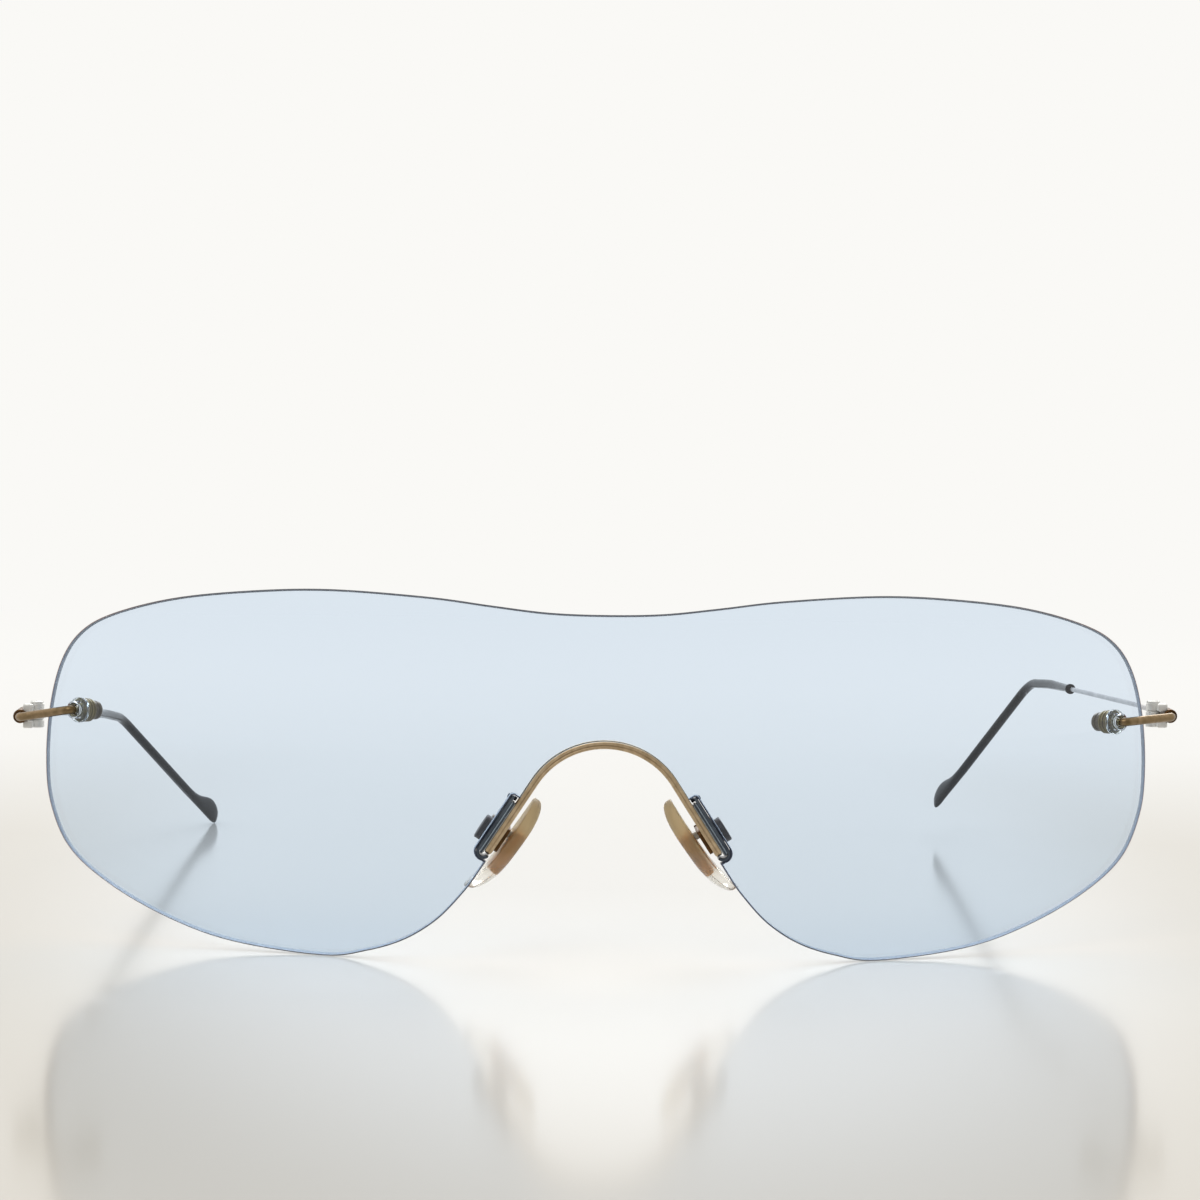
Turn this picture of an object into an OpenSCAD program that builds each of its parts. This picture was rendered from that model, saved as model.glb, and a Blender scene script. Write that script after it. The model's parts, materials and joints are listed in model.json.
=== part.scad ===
/* [Lens] */
// Width of the lens from side to side
lens_w = 142; // [132:1:150]
// Height of the lens from its lowest point to its highest
lens_h = 45.6; // [43:0.2:49]
// Thickness of the lens
lens_t = 1.8; // [1.6:0.1:2.2]
// Radius of the ball that the front of the lens is a piece of
lens_r = 106; // [100:1:115]

/* [Nose cut-out] */
// Radius of the arch at the top of the nose cut-out
arch_r = 9.7; // [9:0.1:10.4]
// Height of the top of the arch above the table
arch_top = 26.9; // [25.8:0.1:28]
// Lean of the straight sides of the cut-out, in degrees from upright
arch_angle = 32.8; // [31:0.2:35]

/* [Bridge band] */
// Thickness of the band that lines the nose cut-out
band_t = 0.9; // [0.75:0.05:1]
// How far the band stands behind the lens
band_behind = 0.75; // [0.6:0.05:0.9]
// How far the band stands in front of the lens
band_proud = 0.25; // [0.15:0.05:0.35]
// How far the edge of the lens sits in the band's groove
groove_d = 0.3; // [0.2:0.05:0.4]

/* [Nose clamp] */
// Height of the clamp screw above the table
clamp_z = 15.5; // [15.2:0.05:16.4]
// Distance along the band from the clamp screw to the middle of the hook
hook_drop = 2.35; // [2.15:0.05:2.7]
// Thickness of the hook's return leg
hook_t = 0.4; // [0.3:0.05:0.45]
// Length of the return leg above the screw
leg_up = 5.4; // [5.2:0.1:5.8]
// Thickness of the clear key between band and return leg
key_t = 0.55; // [0.5:0.05:0.65]
// Length of the key above the screw
key_up = 4.8; // [4.5:0.1:4.8]
// Radius of the clamp screw's head
clamp_head_r = 1.6; // [1.45:0.05:1.65]
// Height of the clamp screw's head
clamp_head_h = 0.95; // [0.85:0.05:1.1]
// Radius of the clamp screw's shank
clamp_shank_r = 0.5; // [0.4:0.05:0.55]

/* [Pad arm] */
// Thickness of the arm plate beside the band
arm_t = 0.45; // [0.35:0.05:0.5]
// Length of the arm plate along the band
arm_l = 3.3; // [3:0.1:3.8]
// Height of the pad's pivot above the clamp screw
pivot_up = 0.6; // [0.4:0.05:0.7]
// Thickness of each cheek of the pad box
cheek_t = 0.5; // [0.4:0.05:0.6]
// Radius of the pad screw's shank
pad_screw_r = 0.45; // [0.35:0.05:0.5]

/* [Nose pad] */
// Length of a nose pad
pad_l = 13.8; // [13:0.2:15]
// Width of a nose pad
pad_w = 7.6; // [7:0.1:8.4]
// Thickness of a nose pad at its middle
pad_t = 1.9; // [1.8:0.1:2.2]
// Thickness of a nose pad near its rim
pad_rim_t = 1.1; // [0.9:0.1:1.2]
// Lean of a pad against the straight side of the cut-out, in degrees
pad_angle = 3; // [2:0.5:4]
// Length of the metal core in the pad
core_l = 5.6; // [5:0.1:6]
// How far the middle of the core lies below the clamp screw
core_low = 1.3; // [1:0.1:1.6]
// Width of the metal core in the pad
core_w = 2.6; // [2.2:0.1:3]
// Thickness of the metal core in the pad
core_t = 0.8; // [0.7:0.05:0.9]

/* [End pieces] */
// Distance of each side hole from the side edge of the lens
hole_edge = 3.8; // [3.6:0.1:4.6]
// Height of the side holes above the table
hole_z = 28.9; // [27:0.1:30]
// Radius of the end piece's wire
wire_r = 0.55; // [0.5:0.01:0.6]
// How far each temple's line runs outside the edge of the lens
temple_out = 3.65; // [3.2:0.05:4.5]
// Length of wire from the elbow back to the hinge
back_run = 3.3; // [3.1:0.1:3.8]
// Turn of the left end piece in its hole, in degrees
left_turn_angle = -9.5; // [-10:0.5:4]
// Turn of the right end piece in its hole, in degrees
right_turn_angle = 1.5; // [-4:0.5:8]

/* [Side fixing] */
// Radius of the hole through the lens
hole_r = 0.95; // [0.9:0.01:1.05]
// Radius of the clear bushing's flange
flange_r = 1.6; // [1.5:0.05:1.7]
// Thickness of the clear bushing's flange
flange_t = 0.5; // [0.4:0.05:0.6]
// Radius of the nut behind the lens
nut_r = 1.5; // [1.4:0.05:1.6]
// Height of the nut behind the lens
nut_h = 1.35; // [1.2:0.05:1.5]
// Radius of the cap on the end of the stud
cap_r = 1.2; // [1.05:0.05:1.3]
// Height of the cap on the end of the stud
cap_h = 1.55; // [1.4:0.05:1.7]

/* [Hinges] */
// Radius of the hinge knuckles
knuckle_r = 0.95; // [0.9:0.01:1.05]
// Height of the whole hinge barrel
barrel_h = 3.1; // [2.9:0.1:3.5]
// Height of the temple's own knuckle
mid_h = 1; // [0.9:0.05:1.1]
// Radius of the hinge screw's shank
hinge_screw_r = 0.5; // [0.4:0.02:0.55]

/* [Temples] */
// Radius of the temple wire
temple_r = 0.35; // [0.3:0.01:0.4]
// Radius of the ferrule at the front of the temple
ferrule_r = 0.9; // [0.8:0.01:1]
// Length of the ferrule
ferrule_l = 4.5; // [3.5:0.1:6]
// Distance from the hinge to the start of the tip's sleeve
sleeve_at = 62; // [56:1:68]
// Distance from the hinge to the bend behind the ear
ear_at = 89.2; // [84:0.2:95]
// Length from the bend to the end of the tip
leg_l = 38.6; // [34:0.2:42]
// Radius of the bend behind the ear
ear_bend_r = 12; // [9:0.5:15]
// Fall of the left temple, in degrees
left_fall_angle = 5; // [0:0.1:6]
// Fall of the right temple, in degrees
right_fall_angle = 1.5; // [0:0.1:5]
// Lean of the left temple towards the head, in degrees
left_lean_angle = 3; // [0:0.1:5]
// Lean of the right temple towards the head, in degrees
right_lean_angle = 3.4; // [0:0.1:5]
// Lean of the left tip towards the head, in degrees
left_tip_angle = 21.6; // [15:0.2:28]
// Lean of the right tip towards the head, in degrees
right_tip_angle = 19.8; // [15:0.2:28]
// Height of the left tip's end above the table
left_tip_z = 0.05; // [0:0.05:4]
// Height of the right tip's end above the table
right_tip_z = 3.9; // [0:0.05:6]

/* [Temple tips] */
// Radius of the sleeve at its front end
sleeve_front_r = 0.52; // [0.5:0.01:0.6]
// Radius of the sleeve on its long leg
sleeve_r = 0.68; // [0.64:0.01:0.75]
// Radius of the collar at the front of the sleeve
collar_r = 0.75; // [0.7:0.01:0.9]
// Length of the collar
collar_l = 1; // [0.8:0.1:1.5]
// Length of the blade at the end of the tip
blade_l = 12; // [9:0.5:14]
// Width of the blade at the end of the tip
blade_w = 3.1; // [2.4:0.1:3.4]
// Thickness of the blade at the end of the tip
blade_t = 1.2; // [1:0.05:1.3]
// Turn of the left blade about its leg, in degrees
left_blade_angle = 0; // [-10:1:30]
// Turn of the right blade about its leg, in degrees
right_blade_angle = 14; // [-10:1:30]

/* [Hidden] */

// Running gap between a shaft and its bore
fit_gap = 0.03;
// Gap between pieces that are fixed together but don't press on each other
seat_gap = 0.03;
// How far a cut runs past what it cuts
overrun = 1;
// How much a bend is thicker than its rods, and how far they run into it
bend_seam = 0.01;
run_in = 0.08;
// How far a clamp tab's faces lie inside those of the strip that it grows from
tab_inset = 0.02;
// Facets of round pieces, and of the two large balls
round_fn = 48;
ball_fn = 180;

// Outline of the tip's blade as shares of its width and length, round from its
// root: it runs straight on below and swells on top
blade_shares = [
    [-0.18, 0], [-0.2, 0.3], [-0.2, 0.9], [-0.17, 0.965], [-0.08, 0.995], [0.1, 1],
    [0.3, 0.992], [0.5, 0.965], [0.66, 0.915], [0.76, 0.85], [0.8, 0.77], [0.77, 0.69],
    [0.68, 0.6], [0.54, 0.5], [0.41, 0.4], [0.31, 0.29], [0.24, 0.16], [0.18, 0]
];

// The lens is symmetric, and these shares of its half width and of its height
// run from the top middle round its side to the foot of the nose cut-out
outline_shares = [
    [0, 0.947], [0.099, 0.951], [0.197, 0.967], [0.31, 0.987], [0.479, 1],
    [0.62, 0.989], [0.76, 0.96], [0.873, 0.91], [0.935, 0.855], [0.972, 0.772],
    [0.993, 0.647], [1, 0.496], [0.9915, 0.368], [0.955, 0.246], [0.879, 0.154],
    [0.768, 0.0735], [0.649, 0.022], [0.486, 0], [0.407, 0.0205],
    [0.342, 0.057], [0.286, 0.116], [0.241, 0.193]
];
outline_steps = 4;
arch_steps = 16;
// Height of the ball's middle, and of the foot of the straight nose edge
ball_share = 0.4825;
foot_share = 0.248;
ball_z = ball_share * lens_h;
foot_z = foot_share * lens_h;

// Middle of the arch, and where the straight sides start
arch_z = arch_top - arch_r;
side_n = [cos(arch_angle), sin(arch_angle)];
side_t = [-sin(arch_angle), cos(arch_angle)];
side_at = [arch_r * side_n[0], arch_z + arch_r * side_n[1]];
function side_x(z) = side_at[0] + (side_at[1] - z) * tan(arch_angle);

// Depth of the lens's front face, or of a face that far behind it
function lens_y(x, z, behind = 0) =
    lens_r - sqrt(pow(lens_r - behind, 2) - x * x - pow(z - ball_z, 2));

// Nose clamp, measured from the straight side of the cut-out outwards
band_out = band_t;
key_out = band_out + key_t;
hook_out = key_out + hook_t;
hook_r = hook_out / 2;
head_out = hook_out + clamp_head_h;
head_mid = hook_out + clamp_head_h / 2;
clamp_x = side_x(clamp_z);
head_x = clamp_x + head_mid * side_n[0];
head_z = clamp_z + head_mid * side_n[1];
clamp_y = lens_y(head_x, head_z, lens_t) + clamp_head_r + 3 * seat_gap;
tab_half = arm_l / 2;
tab_front = lens_y(head_x, head_z, lens_t + band_behind / 2);
tab_back = clamp_y + clamp_head_r + 3 * seat_gap;
notch_gap = 2 * seat_gap;
notch_r = 0.3;
notch_up = leg_up + 3 * notch_gap;
spur_in = 0.45;
spur_out = 0.35;
spur_h = 0.55;
spur_gap = 0.2;
slot_w = 0.35;
slot_d = 0.4;
clamp_bore_r = clamp_shank_r + fit_gap;

// Pad box, with the pad's pivot along the depth of the glasses
lug_r = 0.9;
lug_w = 1.2;
lug_gap = 0.06;
pivot_out = 0.6;
box_in = -arm_t;
box_out = pivot_out + lug_r + 0.1 * lug_r;
box_half = lug_r + 0.15 * lug_r;
box_wall = 0.4;
box_front = tab_back + 2 * seat_gap;
lug_front = box_front + cheek_t + lug_gap;
pad_y = lug_front + lug_w / 2;
box_back = lug_front + lug_w + lug_gap + cheek_t;
pad_bore_r = pad_screw_r + fit_gap;
pad_head_r = 0.75;
pad_head_h = 0.4;
arm_front = 1.3;

// Pad, with its flat back towards the arm
pad_back = -1;
pad_down = 0.75;
neck_w = 1.1;
core_deep = 0.55;
neck_from = pad_back - core_deep - core_t / 2;
pad_sides = 40;
pad_power = 2.35;
pad_ball_r = (pow(pad_l / 2, 2) + pow(pad_t - pad_rim_t, 2)) / (2 * (pad_t - pad_rim_t));

// Side holes, whose axis is square to the lens
hole_x = lens_w / 2 - hole_edge;
temple_x = lens_w / 2 + temple_out;
hole_up = asin((hole_z - ball_z) / lens_r);
hole_round = asin(hole_x / (lens_r * cos(hole_up)));
hole_n = [cos(hole_up) * sin(hole_round), -cos(hole_up) * cos(hole_round), sin(hole_up)];
hole_a = [cos(hole_round), sin(hole_round), 0];
hole_b = cross(hole_n, hole_a);
hole_p = [hole_x, lens_y(hole_x, hole_z), hole_z];
stud_r = wire_r;
stud_bore_r = stud_r + fit_gap;
bushing_r = hole_r - fit_gap;
run_up = wire_r + 2 * seat_gap;
elbow_r = 1.3;
stud_deep = lens_t + flange_t + nut_h + 0.6 * cap_h;
function run_dir(turn) = cos(turn) * hole_a + sin(turn) * hole_b;
function run_l(turn) = (temple_x - hole_x - run_up * hole_n[0]) / run_dir(turn)[0];
function corner_p() = hole_p + run_up * hole_n;
function elbow_p(turn) = corner_p() + run_l(turn) * run_dir(turn);
function hinge_y(turn) = elbow_p(turn)[1] + back_run;
function hinge_z(turn) = elbow_p(turn)[2];

// Hinge, whose screw stands upright inside the temple's line
hinge_gap = 0.08;
hinge_x = temple_x - ferrule_r - hinge_gap - knuckle_r;
outer_h = (barrel_h - mid_h) / 2 - hinge_gap;
outer_from = mid_h / 2 + hinge_gap;
hinge_bore_r = hinge_screw_r + fit_gap;
hinge_head_r = 0.85;
hinge_head_h = 0.3;
block_w = 1.5;
block_l = 1.2;
butt_gap = 0.12;

// Temples, as a chain of straight runs with rounded corners
sleeve_fall_angle = 2.2;
sleeve_lean_angle = 1.6;
sleeve_bend_at = 14;
sleeve_bend_r = 60;
ferrule_bend_r = 10;
ferrule_taper = 1.6;
wire_end_share = 0.8;
function aim(lean, fall) = [-sin(lean) * cos(fall), cos(lean) * cos(fall), -sin(fall)];
function ferrule_end(turn) = [temple_x, hinge_y(turn) + butt_gap + ferrule_l, hinge_z(turn)];
function bend_p(turn, lean, fall) =
    ferrule_end(turn) + (sleeve_at + sleeve_bend_at - ferrule_l) * aim(lean, fall);
function ear_p(turn, lean, fall) =
    bend_p(turn, lean, fall)
    + (ear_at - sleeve_at - sleeve_bend_at) * aim(lean + sleeve_lean_angle, fall + sleeve_fall_angle);
function leg_fall(turn, lean, fall, tip_z) =
    asin((ear_p(turn, lean, fall)[2] - tip_z - blade_low) / leg_l);
function tip_p(turn, lean, fall, tip_lean, tip_z) =
    ear_p(turn, lean, fall) + leg_l * aim(tip_lean, leg_fall(turn, lean, fall, tip_z));
blade_low_share = 0.33;
blade_low = blade_low_share * sleeve_r;

// The origin lies under the middle of the whole object
function blade_back(tip_lean, f, turn) = max([
    for (s = blade_shares, side = [-1, 1])
        let (u = side * blade_t / 2, v = -s[0] * blade_w, w = (s[1] - 1) * blade_l)
        w * cos(tip_lean) * cos(f)
        + (u * cos(turn) - v * sin(turn)) * sin(tip_lean)
        - (u * sin(turn) + v * cos(turn)) * cos(tip_lean) * sin(f)
]);
function back_end(turn, lean, fall, tip_lean, tip_z, blade_turn) =
    tip_p(turn, lean, fall, tip_lean, tip_z)[1]
    + blade_back(tip_lean, leg_fall(turn, lean, fall, tip_z), blade_turn);
left_back = back_end(left_turn_angle, left_lean_angle, left_fall_angle,
    left_tip_angle, left_tip_z, left_blade_angle);
right_back = back_end(right_turn_angle, right_lean_angle, right_fall_angle,
    right_tip_angle, right_tip_z, right_blade_angle);
band_front = lens_y(0, arch_top + band_t) - band_proud;
frame_y = (max(left_back, right_back) + band_front) / 2;

// Points of a smooth curve through the given ones
function curve_point(a, b, c, d, u) =
    0.5 * (2 * b + (c - a) * u + (2 * a - 5 * b + 4 * c - d) * u * u
    + (3 * b - a - 3 * c + d) * u * u * u);
function curve(p, steps) = [
    for (i = [1 : len(p) - 3], k = [0 : steps - 1])
        curve_point(p[i - 1], p[i], p[i + 1], p[i + 2], k / steps)
];
function mirrored(p) = [-p[0], p[1]];
function half_outline() = [for (s = outline_shares) [s[0] * lens_w / 2, s[1] * lens_h]];
foot_p = [side_x(foot_z), foot_z];
function lens_half() =
    let (h = half_outline())
    curve(concat([mirrored(h[1])], h, [foot_p, foot_p + (side_at - foot_p) / 4]), outline_steps);
function arch_points(r, steps) = [
    for (k = [0 : steps])
        let (a = arch_angle + k * (180 - 2 * arch_angle) / steps)
        [r * cos(a), arch_z + r * sin(a)]
];
function lens_outline() =
    let (h = lens_half(), n = len(h))
    concat(h, [foot_p], arch_points(arch_r, arch_steps), [mirrored(foot_p)],
        [for (k = [n - 1 : -1 : 1]) mirrored(h[k])]);

// Puts a piece into the frame of the whole object
module placed() {
    translate([0, -frame_y, 0]) children();
}

// The right side is drawn, and the left side is its mirror image
module left_side() {
    placed() mirror([1, 0, 0]) children();
}

// A flat outline in X and Z, run through the depth of the lens
module through(from = -overrun, to = lens_w / 2) {
    translate([0, to, 0]) rotate([90, 0, 0]) linear_extrude(to - from) children();
}

// The space between two balls that share the lens's middle
module shell(front, back) {
    translate([0, lens_r, ball_z]) difference() {
        sphere(lens_r + front, $fn = ball_fn);
        sphere(lens_r - back, $fn = ball_fn);
    }
}

// A frame on the straight side of the cut-out: X runs out into the lens,
// Y runs back and Z runs up along the side
module at_clamp() {
    translate([clamp_x, 0, clamp_z]) rotate([0, -arch_angle, 0]) children();
}

// The same frame for a flat outline in X and Z
module at_clamp_flat() {
    translate([clamp_x, clamp_z]) rotate(arch_angle) children();
}

// A frame on the front of the lens at the side hole: Z points out of the lens
module at_hole() {
    translate([0, lens_r, ball_z]) rotate([-hole_up, 0, hole_round]) rotate([90, 0, 0])
        translate([0, 0, lens_r]) children();
}

// A round rod between two points
module rod(a, b, r1, r2) {
    d = b - a;
    l = norm(d);
    w = d / l;
    s = abs(w[2]) < 0.9 ? [0, 0, 1] : [1, 0, 0];
    c = cross(s, w);
    u = c / norm(c);
    v = cross(w, u);
    multmatrix([
        [u[0], v[0], w[0], a[0]], [u[1], v[1], w[1], a[1]],
        [u[2], v[2], w[2], a[2]], [0, 0, 0, 1]
    ]) cylinder(h = l, r1 = r1, r2 = r2, $fn = round_fn);
}

// A quarter-like round between two straight runs that meet at p
function turn_angle(a, p, b) = acos(min(1, (p - a) * (b - p) / (norm(p - a) * norm(b - p))));
function cut_back(a, p, b, r) = r * tan(turn_angle(a, p, b) / 2);
module elbow(a, p, b, bend, r) {
    u = (p - a) / norm(p - a);
    w = (b - p) / norm(b - p);
    t = turn_angle(a, p, b);
    mid = (w - u) / norm(w - u) * bend / cos(t / 2) + p;
    start = p - u * cut_back(a, p, b, bend);
    ex = (start - mid) / bend;
    n = cross(u, w);
    ez = n / norm(n);
    ey = cross(ez, ex);
    multmatrix([
        [ex[0], ey[0], ez[0], mid[0]], [ex[1], ey[1], ez[1], mid[1]],
        [ex[2], ey[2], ez[2], mid[2]], [0, 0, 0, 1]
    ]) rotate_extrude(angle = t, $fn = 2 * round_fn) translate([bend, 0])
        circle(r + bend_seam, $fn = round_fn);
}

// A bent rod along the points p with a bend radius at each inner point
module bent_rod(p, bends, r, first_r) {
    n = len(p);
    for (i = [0 : n - 2]) {
        d = (p[i + 1] - p[i]) / norm(p[i + 1] - p[i]);
        from = i == 0 ? 0 : cut_back(p[i - 1], p[i], p[i + 1], bends[i - 1]) - run_in;
        to = i == n - 2 ? 0 : cut_back(p[i], p[i + 1], p[i + 2], bends[i]) - run_in;
        rod(p[i] + from * d, p[i + 1] - to * d, i == 0 ? first_r : r, r);
    }
    for (i = [1 : n - 2]) elbow(p[i - 1], p[i], p[i + 1], bends[i - 1], r);
}

// The nose cut-out's band as a flat outline, from one distance out to another
module band_flat(from, to) {
    foot = -hook_drop;
    outer = concat(
        [[clamp_x, clamp_z] + to * side_n + foot * side_t],
        arch_points(arch_r + to, arch_steps));
    inner = concat(
        arch_points(arch_r + from, arch_steps),
        [mirrored([clamp_x, clamp_z] + from * side_n + foot * side_t)]);
    polygon(concat(
        outer, [mirrored(outer[0])], [inner[len(inner) - 1]],
        [for (k = [arch_steps : -1 : 0]) inner[k]],
        [[clamp_x, clamp_z] + from * side_n + foot * side_t]));
}

// Space that the band, the key and the hook take out of the lens's edge
module notch_flat() {
    reach = hook_out + notch_gap;
    band_flat(-overrun, band_t - groove_d);
    at_clamp_flat() {
        translate([-overrun, -hook_drop]) square([overrun + reach, hook_drop + notch_up - notch_r]);
        translate([reach - notch_r, notch_up - notch_r]) circle(notch_r, $fn = round_fn);
        translate([-overrun, notch_up - notch_r]) square([overrun + reach - notch_r, notch_r]);
        translate([hook_r, -hook_drop]) circle(hook_r + notch_gap, $fn = round_fn);
        translate([-overrun, -hook_drop - hook_r]) square([overrun + hook_r, hook_r]);
    }
}

module shield_lens() {
    color("lightsteelblue", 0.5) placed() difference() {
        intersection() {
            shell(0, lens_t);
            through() polygon(lens_outline());
        }
        through(-overrun, lens_w / 4) {
            notch_flat();
            mirror([1, 0]) notch_flat();
        }
        side_hole();
        mirror([1, 0, 0]) side_hole();
    }
}

module side_hole() {
    at_hole() translate([0, 0, -lens_t - overrun])
        cylinder(h = lens_t + 2 * overrun, r = hole_r, $fn = round_fn);
}

// The band's tab beside the clamp screw
module clamp_tab(from, to) {
    at_clamp() translate([from + tab_inset, tab_front, -tab_half])
        cube([to - from - 2 * tab_inset, tab_back - tab_front, 2 * tab_half]);
}

module clamp_bore(from, to) {
    at_clamp() translate([from - overrun, clamp_y, 0]) rotate([0, 90, 0])
        cylinder(h = to - from + 2 * overrun, r = clamp_bore_r, $fn = round_fn);
}

module bridge_band() {
    color("tan") placed() difference() {
        union() {
            intersection() {
                shell(band_proud, lens_t + band_behind);
                through(-overrun, lens_w / 4) band_flat(0, band_t);
            }
            clamp_tab(0, band_t);
            mirror([1, 0, 0]) clamp_tab(0, band_t);
        }
        intersection() {
            shell(seat_gap, lens_t + seat_gap);
            through(-overrun, lens_w / 4)
                band_flat(band_t - groove_d - seat_gap, band_t + overrun);
        }
        clamp_bore(0, band_t);
        mirror([1, 0, 0]) clamp_bore(0, band_t);
    }
}

// The hook carries the band's end round into the notch and back up
module band_hook() {
    difference() {
        union() {
            intersection() {
                shell(band_proud, lens_t + band_behind);
                through(-overrun, lens_w / 4) at_clamp_flat() hook_flat();
            }
            clamp_tab(key_out, hook_out);
        }
        clamp_bore(key_out, hook_out);
    }
    spur();
}

module hook_flat() {
    difference() {
        translate([hook_r, -hook_drop]) circle(hook_r, $fn = round_fn);
        translate([hook_r, -hook_drop]) circle(hook_r - hook_t, $fn = round_fn);
        translate([-overrun, -hook_drop]) square([2 * overrun + 2 * hook_r, 2 * hook_r]);
    }
    translate([key_out, -hook_drop]) square([hook_t, hook_drop + leg_up]);
}

// The top of the return leg carries a cross bar behind the lens, which holds
// the key down
module spur() {
    x = clamp_x + hook_out * side_n[0] + leg_up * side_t[0];
    z = clamp_z + hook_out * side_n[1] + leg_up * side_t[1];
    at_clamp() translate([key_out - spur_in, lens_y(x, z, lens_t) + spur_gap, leg_up - spur_h])
        cube([spur_in + hook_t + spur_out, hook_t, spur_h - tab_inset]);
}

module clamp_key() {
    difference() {
        union() {
            intersection() {
                shell(band_proud, lens_t + band_behind);
                through(-overrun, lens_w / 4) at_clamp_flat() key_flat();
            }
            clamp_tab(band_out, key_out);
        }
        clamp_bore(band_out, key_out);
    }
}

module key_flat() {
    top = key_up - key_t / 2;
    low = -hook_drop + hook_r / 2;
    translate([band_out, low]) square([key_t, top - low]);
    translate([band_out + key_t / 2, top]) circle(key_t / 2, $fn = round_fn);
}

// Slotted screw from the hook's side into the arm plate
module clamp_screw() {
    at_clamp() translate([-arm_t, clamp_y, 0]) rotate([0, 90, 0]) difference() {
        union() {
            cylinder(h = arm_t + hook_out + seat_gap, r = clamp_shank_r, $fn = round_fn);
            translate([0, 0, arm_t + hook_out])
                cylinder(h = clamp_head_h, r = clamp_head_r, $fn = round_fn);
        }
        translate([-clamp_head_r - overrun, -slot_w / 2, arm_t + head_out - slot_d])
            cube([2 * (clamp_head_r + overrun), slot_w, slot_d + overrun]);
    }
}

// Plate beside the band with a box behind it for the pad's lug
module pad_arm() {
    at_clamp() difference() {
        union() {
            translate([-arm_t, arm_front, -tab_half])
                cube([arm_t, box_front + cheek_t - arm_front, arm_l]);
            translate([box_in, box_front, pivot_up - box_half])
                cube([box_out - box_in + box_wall, cheek_t, 2 * box_half]);
            translate([box_in, box_back - cheek_t, pivot_up - box_half])
                cube([box_out - box_in + box_wall, cheek_t, 2 * box_half]);
            translate([box_out, box_front, pivot_up - box_half])
                cube([box_wall, box_back - box_front, 2 * box_half]);
        }
        translate([-arm_t - overrun, clamp_y, 0]) rotate([0, 90, 0])
            cylinder(h = arm_t + 2 * overrun, r = clamp_bore_r, $fn = round_fn);
        pad_bore(box_front - overrun, box_back + overrun);
    }
}

module pad_bore(from, to) {
    translate([pivot_out, to, pivot_up]) rotate([90, 0, 0])
        cylinder(h = to - from, r = pad_bore_r, $fn = round_fn);
}

module pad_screw() {
    at_clamp() translate([pivot_out, box_back + pad_head_h, pivot_up]) rotate([90, 0, 0])
        difference() {
            union() {
                cylinder(h = pad_head_h, r = pad_head_r, $fn = round_fn);
                cylinder(h = pad_head_h + box_back - box_front, r = pad_screw_r, $fn = round_fn);
            }
            translate([-pad_head_r - overrun, -slot_w / 2, -overrun])
                cube([2 * (pad_head_r + overrun), slot_w, pad_head_h / 2 + overrun]);
        }
}

// A frame on the pad's flat back: X points away from the nose, Z along the pad
module at_pad() {
    at_clamp() translate([pad_back, pad_y, 0]) rotate([0, -pad_angle, 0])
        translate([0, 0, -pad_down]) children();
}

// The metal core lies in the pad, and its neck ends in the pierced lug
module pad_core() {
    at_clamp() difference() {
        union() {
            translate([pivot_out, pad_y + lug_w / 2, pivot_up]) rotate([90, 0, 0])
                cylinder(h = lug_w, r = lug_r, $fn = round_fn);
            translate([neck_from, pad_y - lug_w / 2, pivot_up - neck_w / 2])
                cube([pivot_out - neck_from, lug_w, neck_w]);
        }
        pad_bore(pad_y - lug_w, pad_y + lug_w);
    }
    core_plate(0);
}

module core_plate(gap) {
    at_pad() translate([-core_deep - core_t - gap, -core_w / 2 - gap,
        pad_down - core_low - core_l / 2 - gap])
        cube([core_t + 2 * gap, core_w + 2 * gap, core_l + 2 * gap]);
}

// Rounded oval with a flat back and a crowned face, moulded round the core
module nose_pad() {
    difference() {
        at_pad() intersection() {
            translate([pad_ball_r - pad_t, 0, 0]) sphere(pad_ball_r, $fn = 2 * round_fn);
            rotate([0, -90, 0]) linear_extrude(pad_t) pad_flat();
        }
        core_plate(seat_gap);
        at_clamp() translate([neck_from, pad_y - lug_w / 2 - seat_gap,
            pivot_up - neck_w / 2 - seat_gap])
            cube([pad_back - neck_from + overrun, lug_w + 2 * seat_gap, neck_w + 2 * seat_gap]);
    }
}

module pad_flat() {
    polygon([
        for (k = [0 : pad_sides - 1])
            let (a = 360 * k / pad_sides, c = cos(a), s = sin(a))
            [sign(c) * pow(abs(c), 2 / pad_power) * pad_l / 2,
                sign(s) * pow(abs(s), 2 / pad_power) * pad_w / 2]
    ]);
}

// Wire from the stud in the lens round the elbow to the two outer knuckles
module end_piece(turn) {
    y = hinge_y(turn);
    z = hinge_z(turn);
    difference() {
        union() {
            bent_rod([
                hole_p - stud_deep * hole_n, corner_p(), elbow_p(turn),
                [temple_x, y - butt_gap / 2, z]
            ], [run_up, elbow_r], wire_r, wire_r);
            translate([hinge_x, y, z]) outer_knuckles();
        }
        translate([hinge_x, y, z]) translate([0, 0, -barrel_h])
            cylinder(h = 2 * barrel_h, r = hinge_bore_r, $fn = round_fn);
    }
}

module outer_knuckles() {
    reach = temple_x - hinge_x;
    block_back = -knuckle_r - 2 * hinge_gap;
    translate([reach - block_w + wire_r / 2, block_back - block_l, -barrel_h / 2])
        cube([block_w, block_l, barrel_h]);
    for (from = [-barrel_h / 2, outer_from]) translate([0, 0, from]) {
        cylinder(h = outer_h, r = knuckle_r, $fn = round_fn);
        translate([0, block_back - block_l, 0])
            cube([reach + wire_r / 2, block_l - block_back - butt_gap, outer_h]);
    }
}

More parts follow.
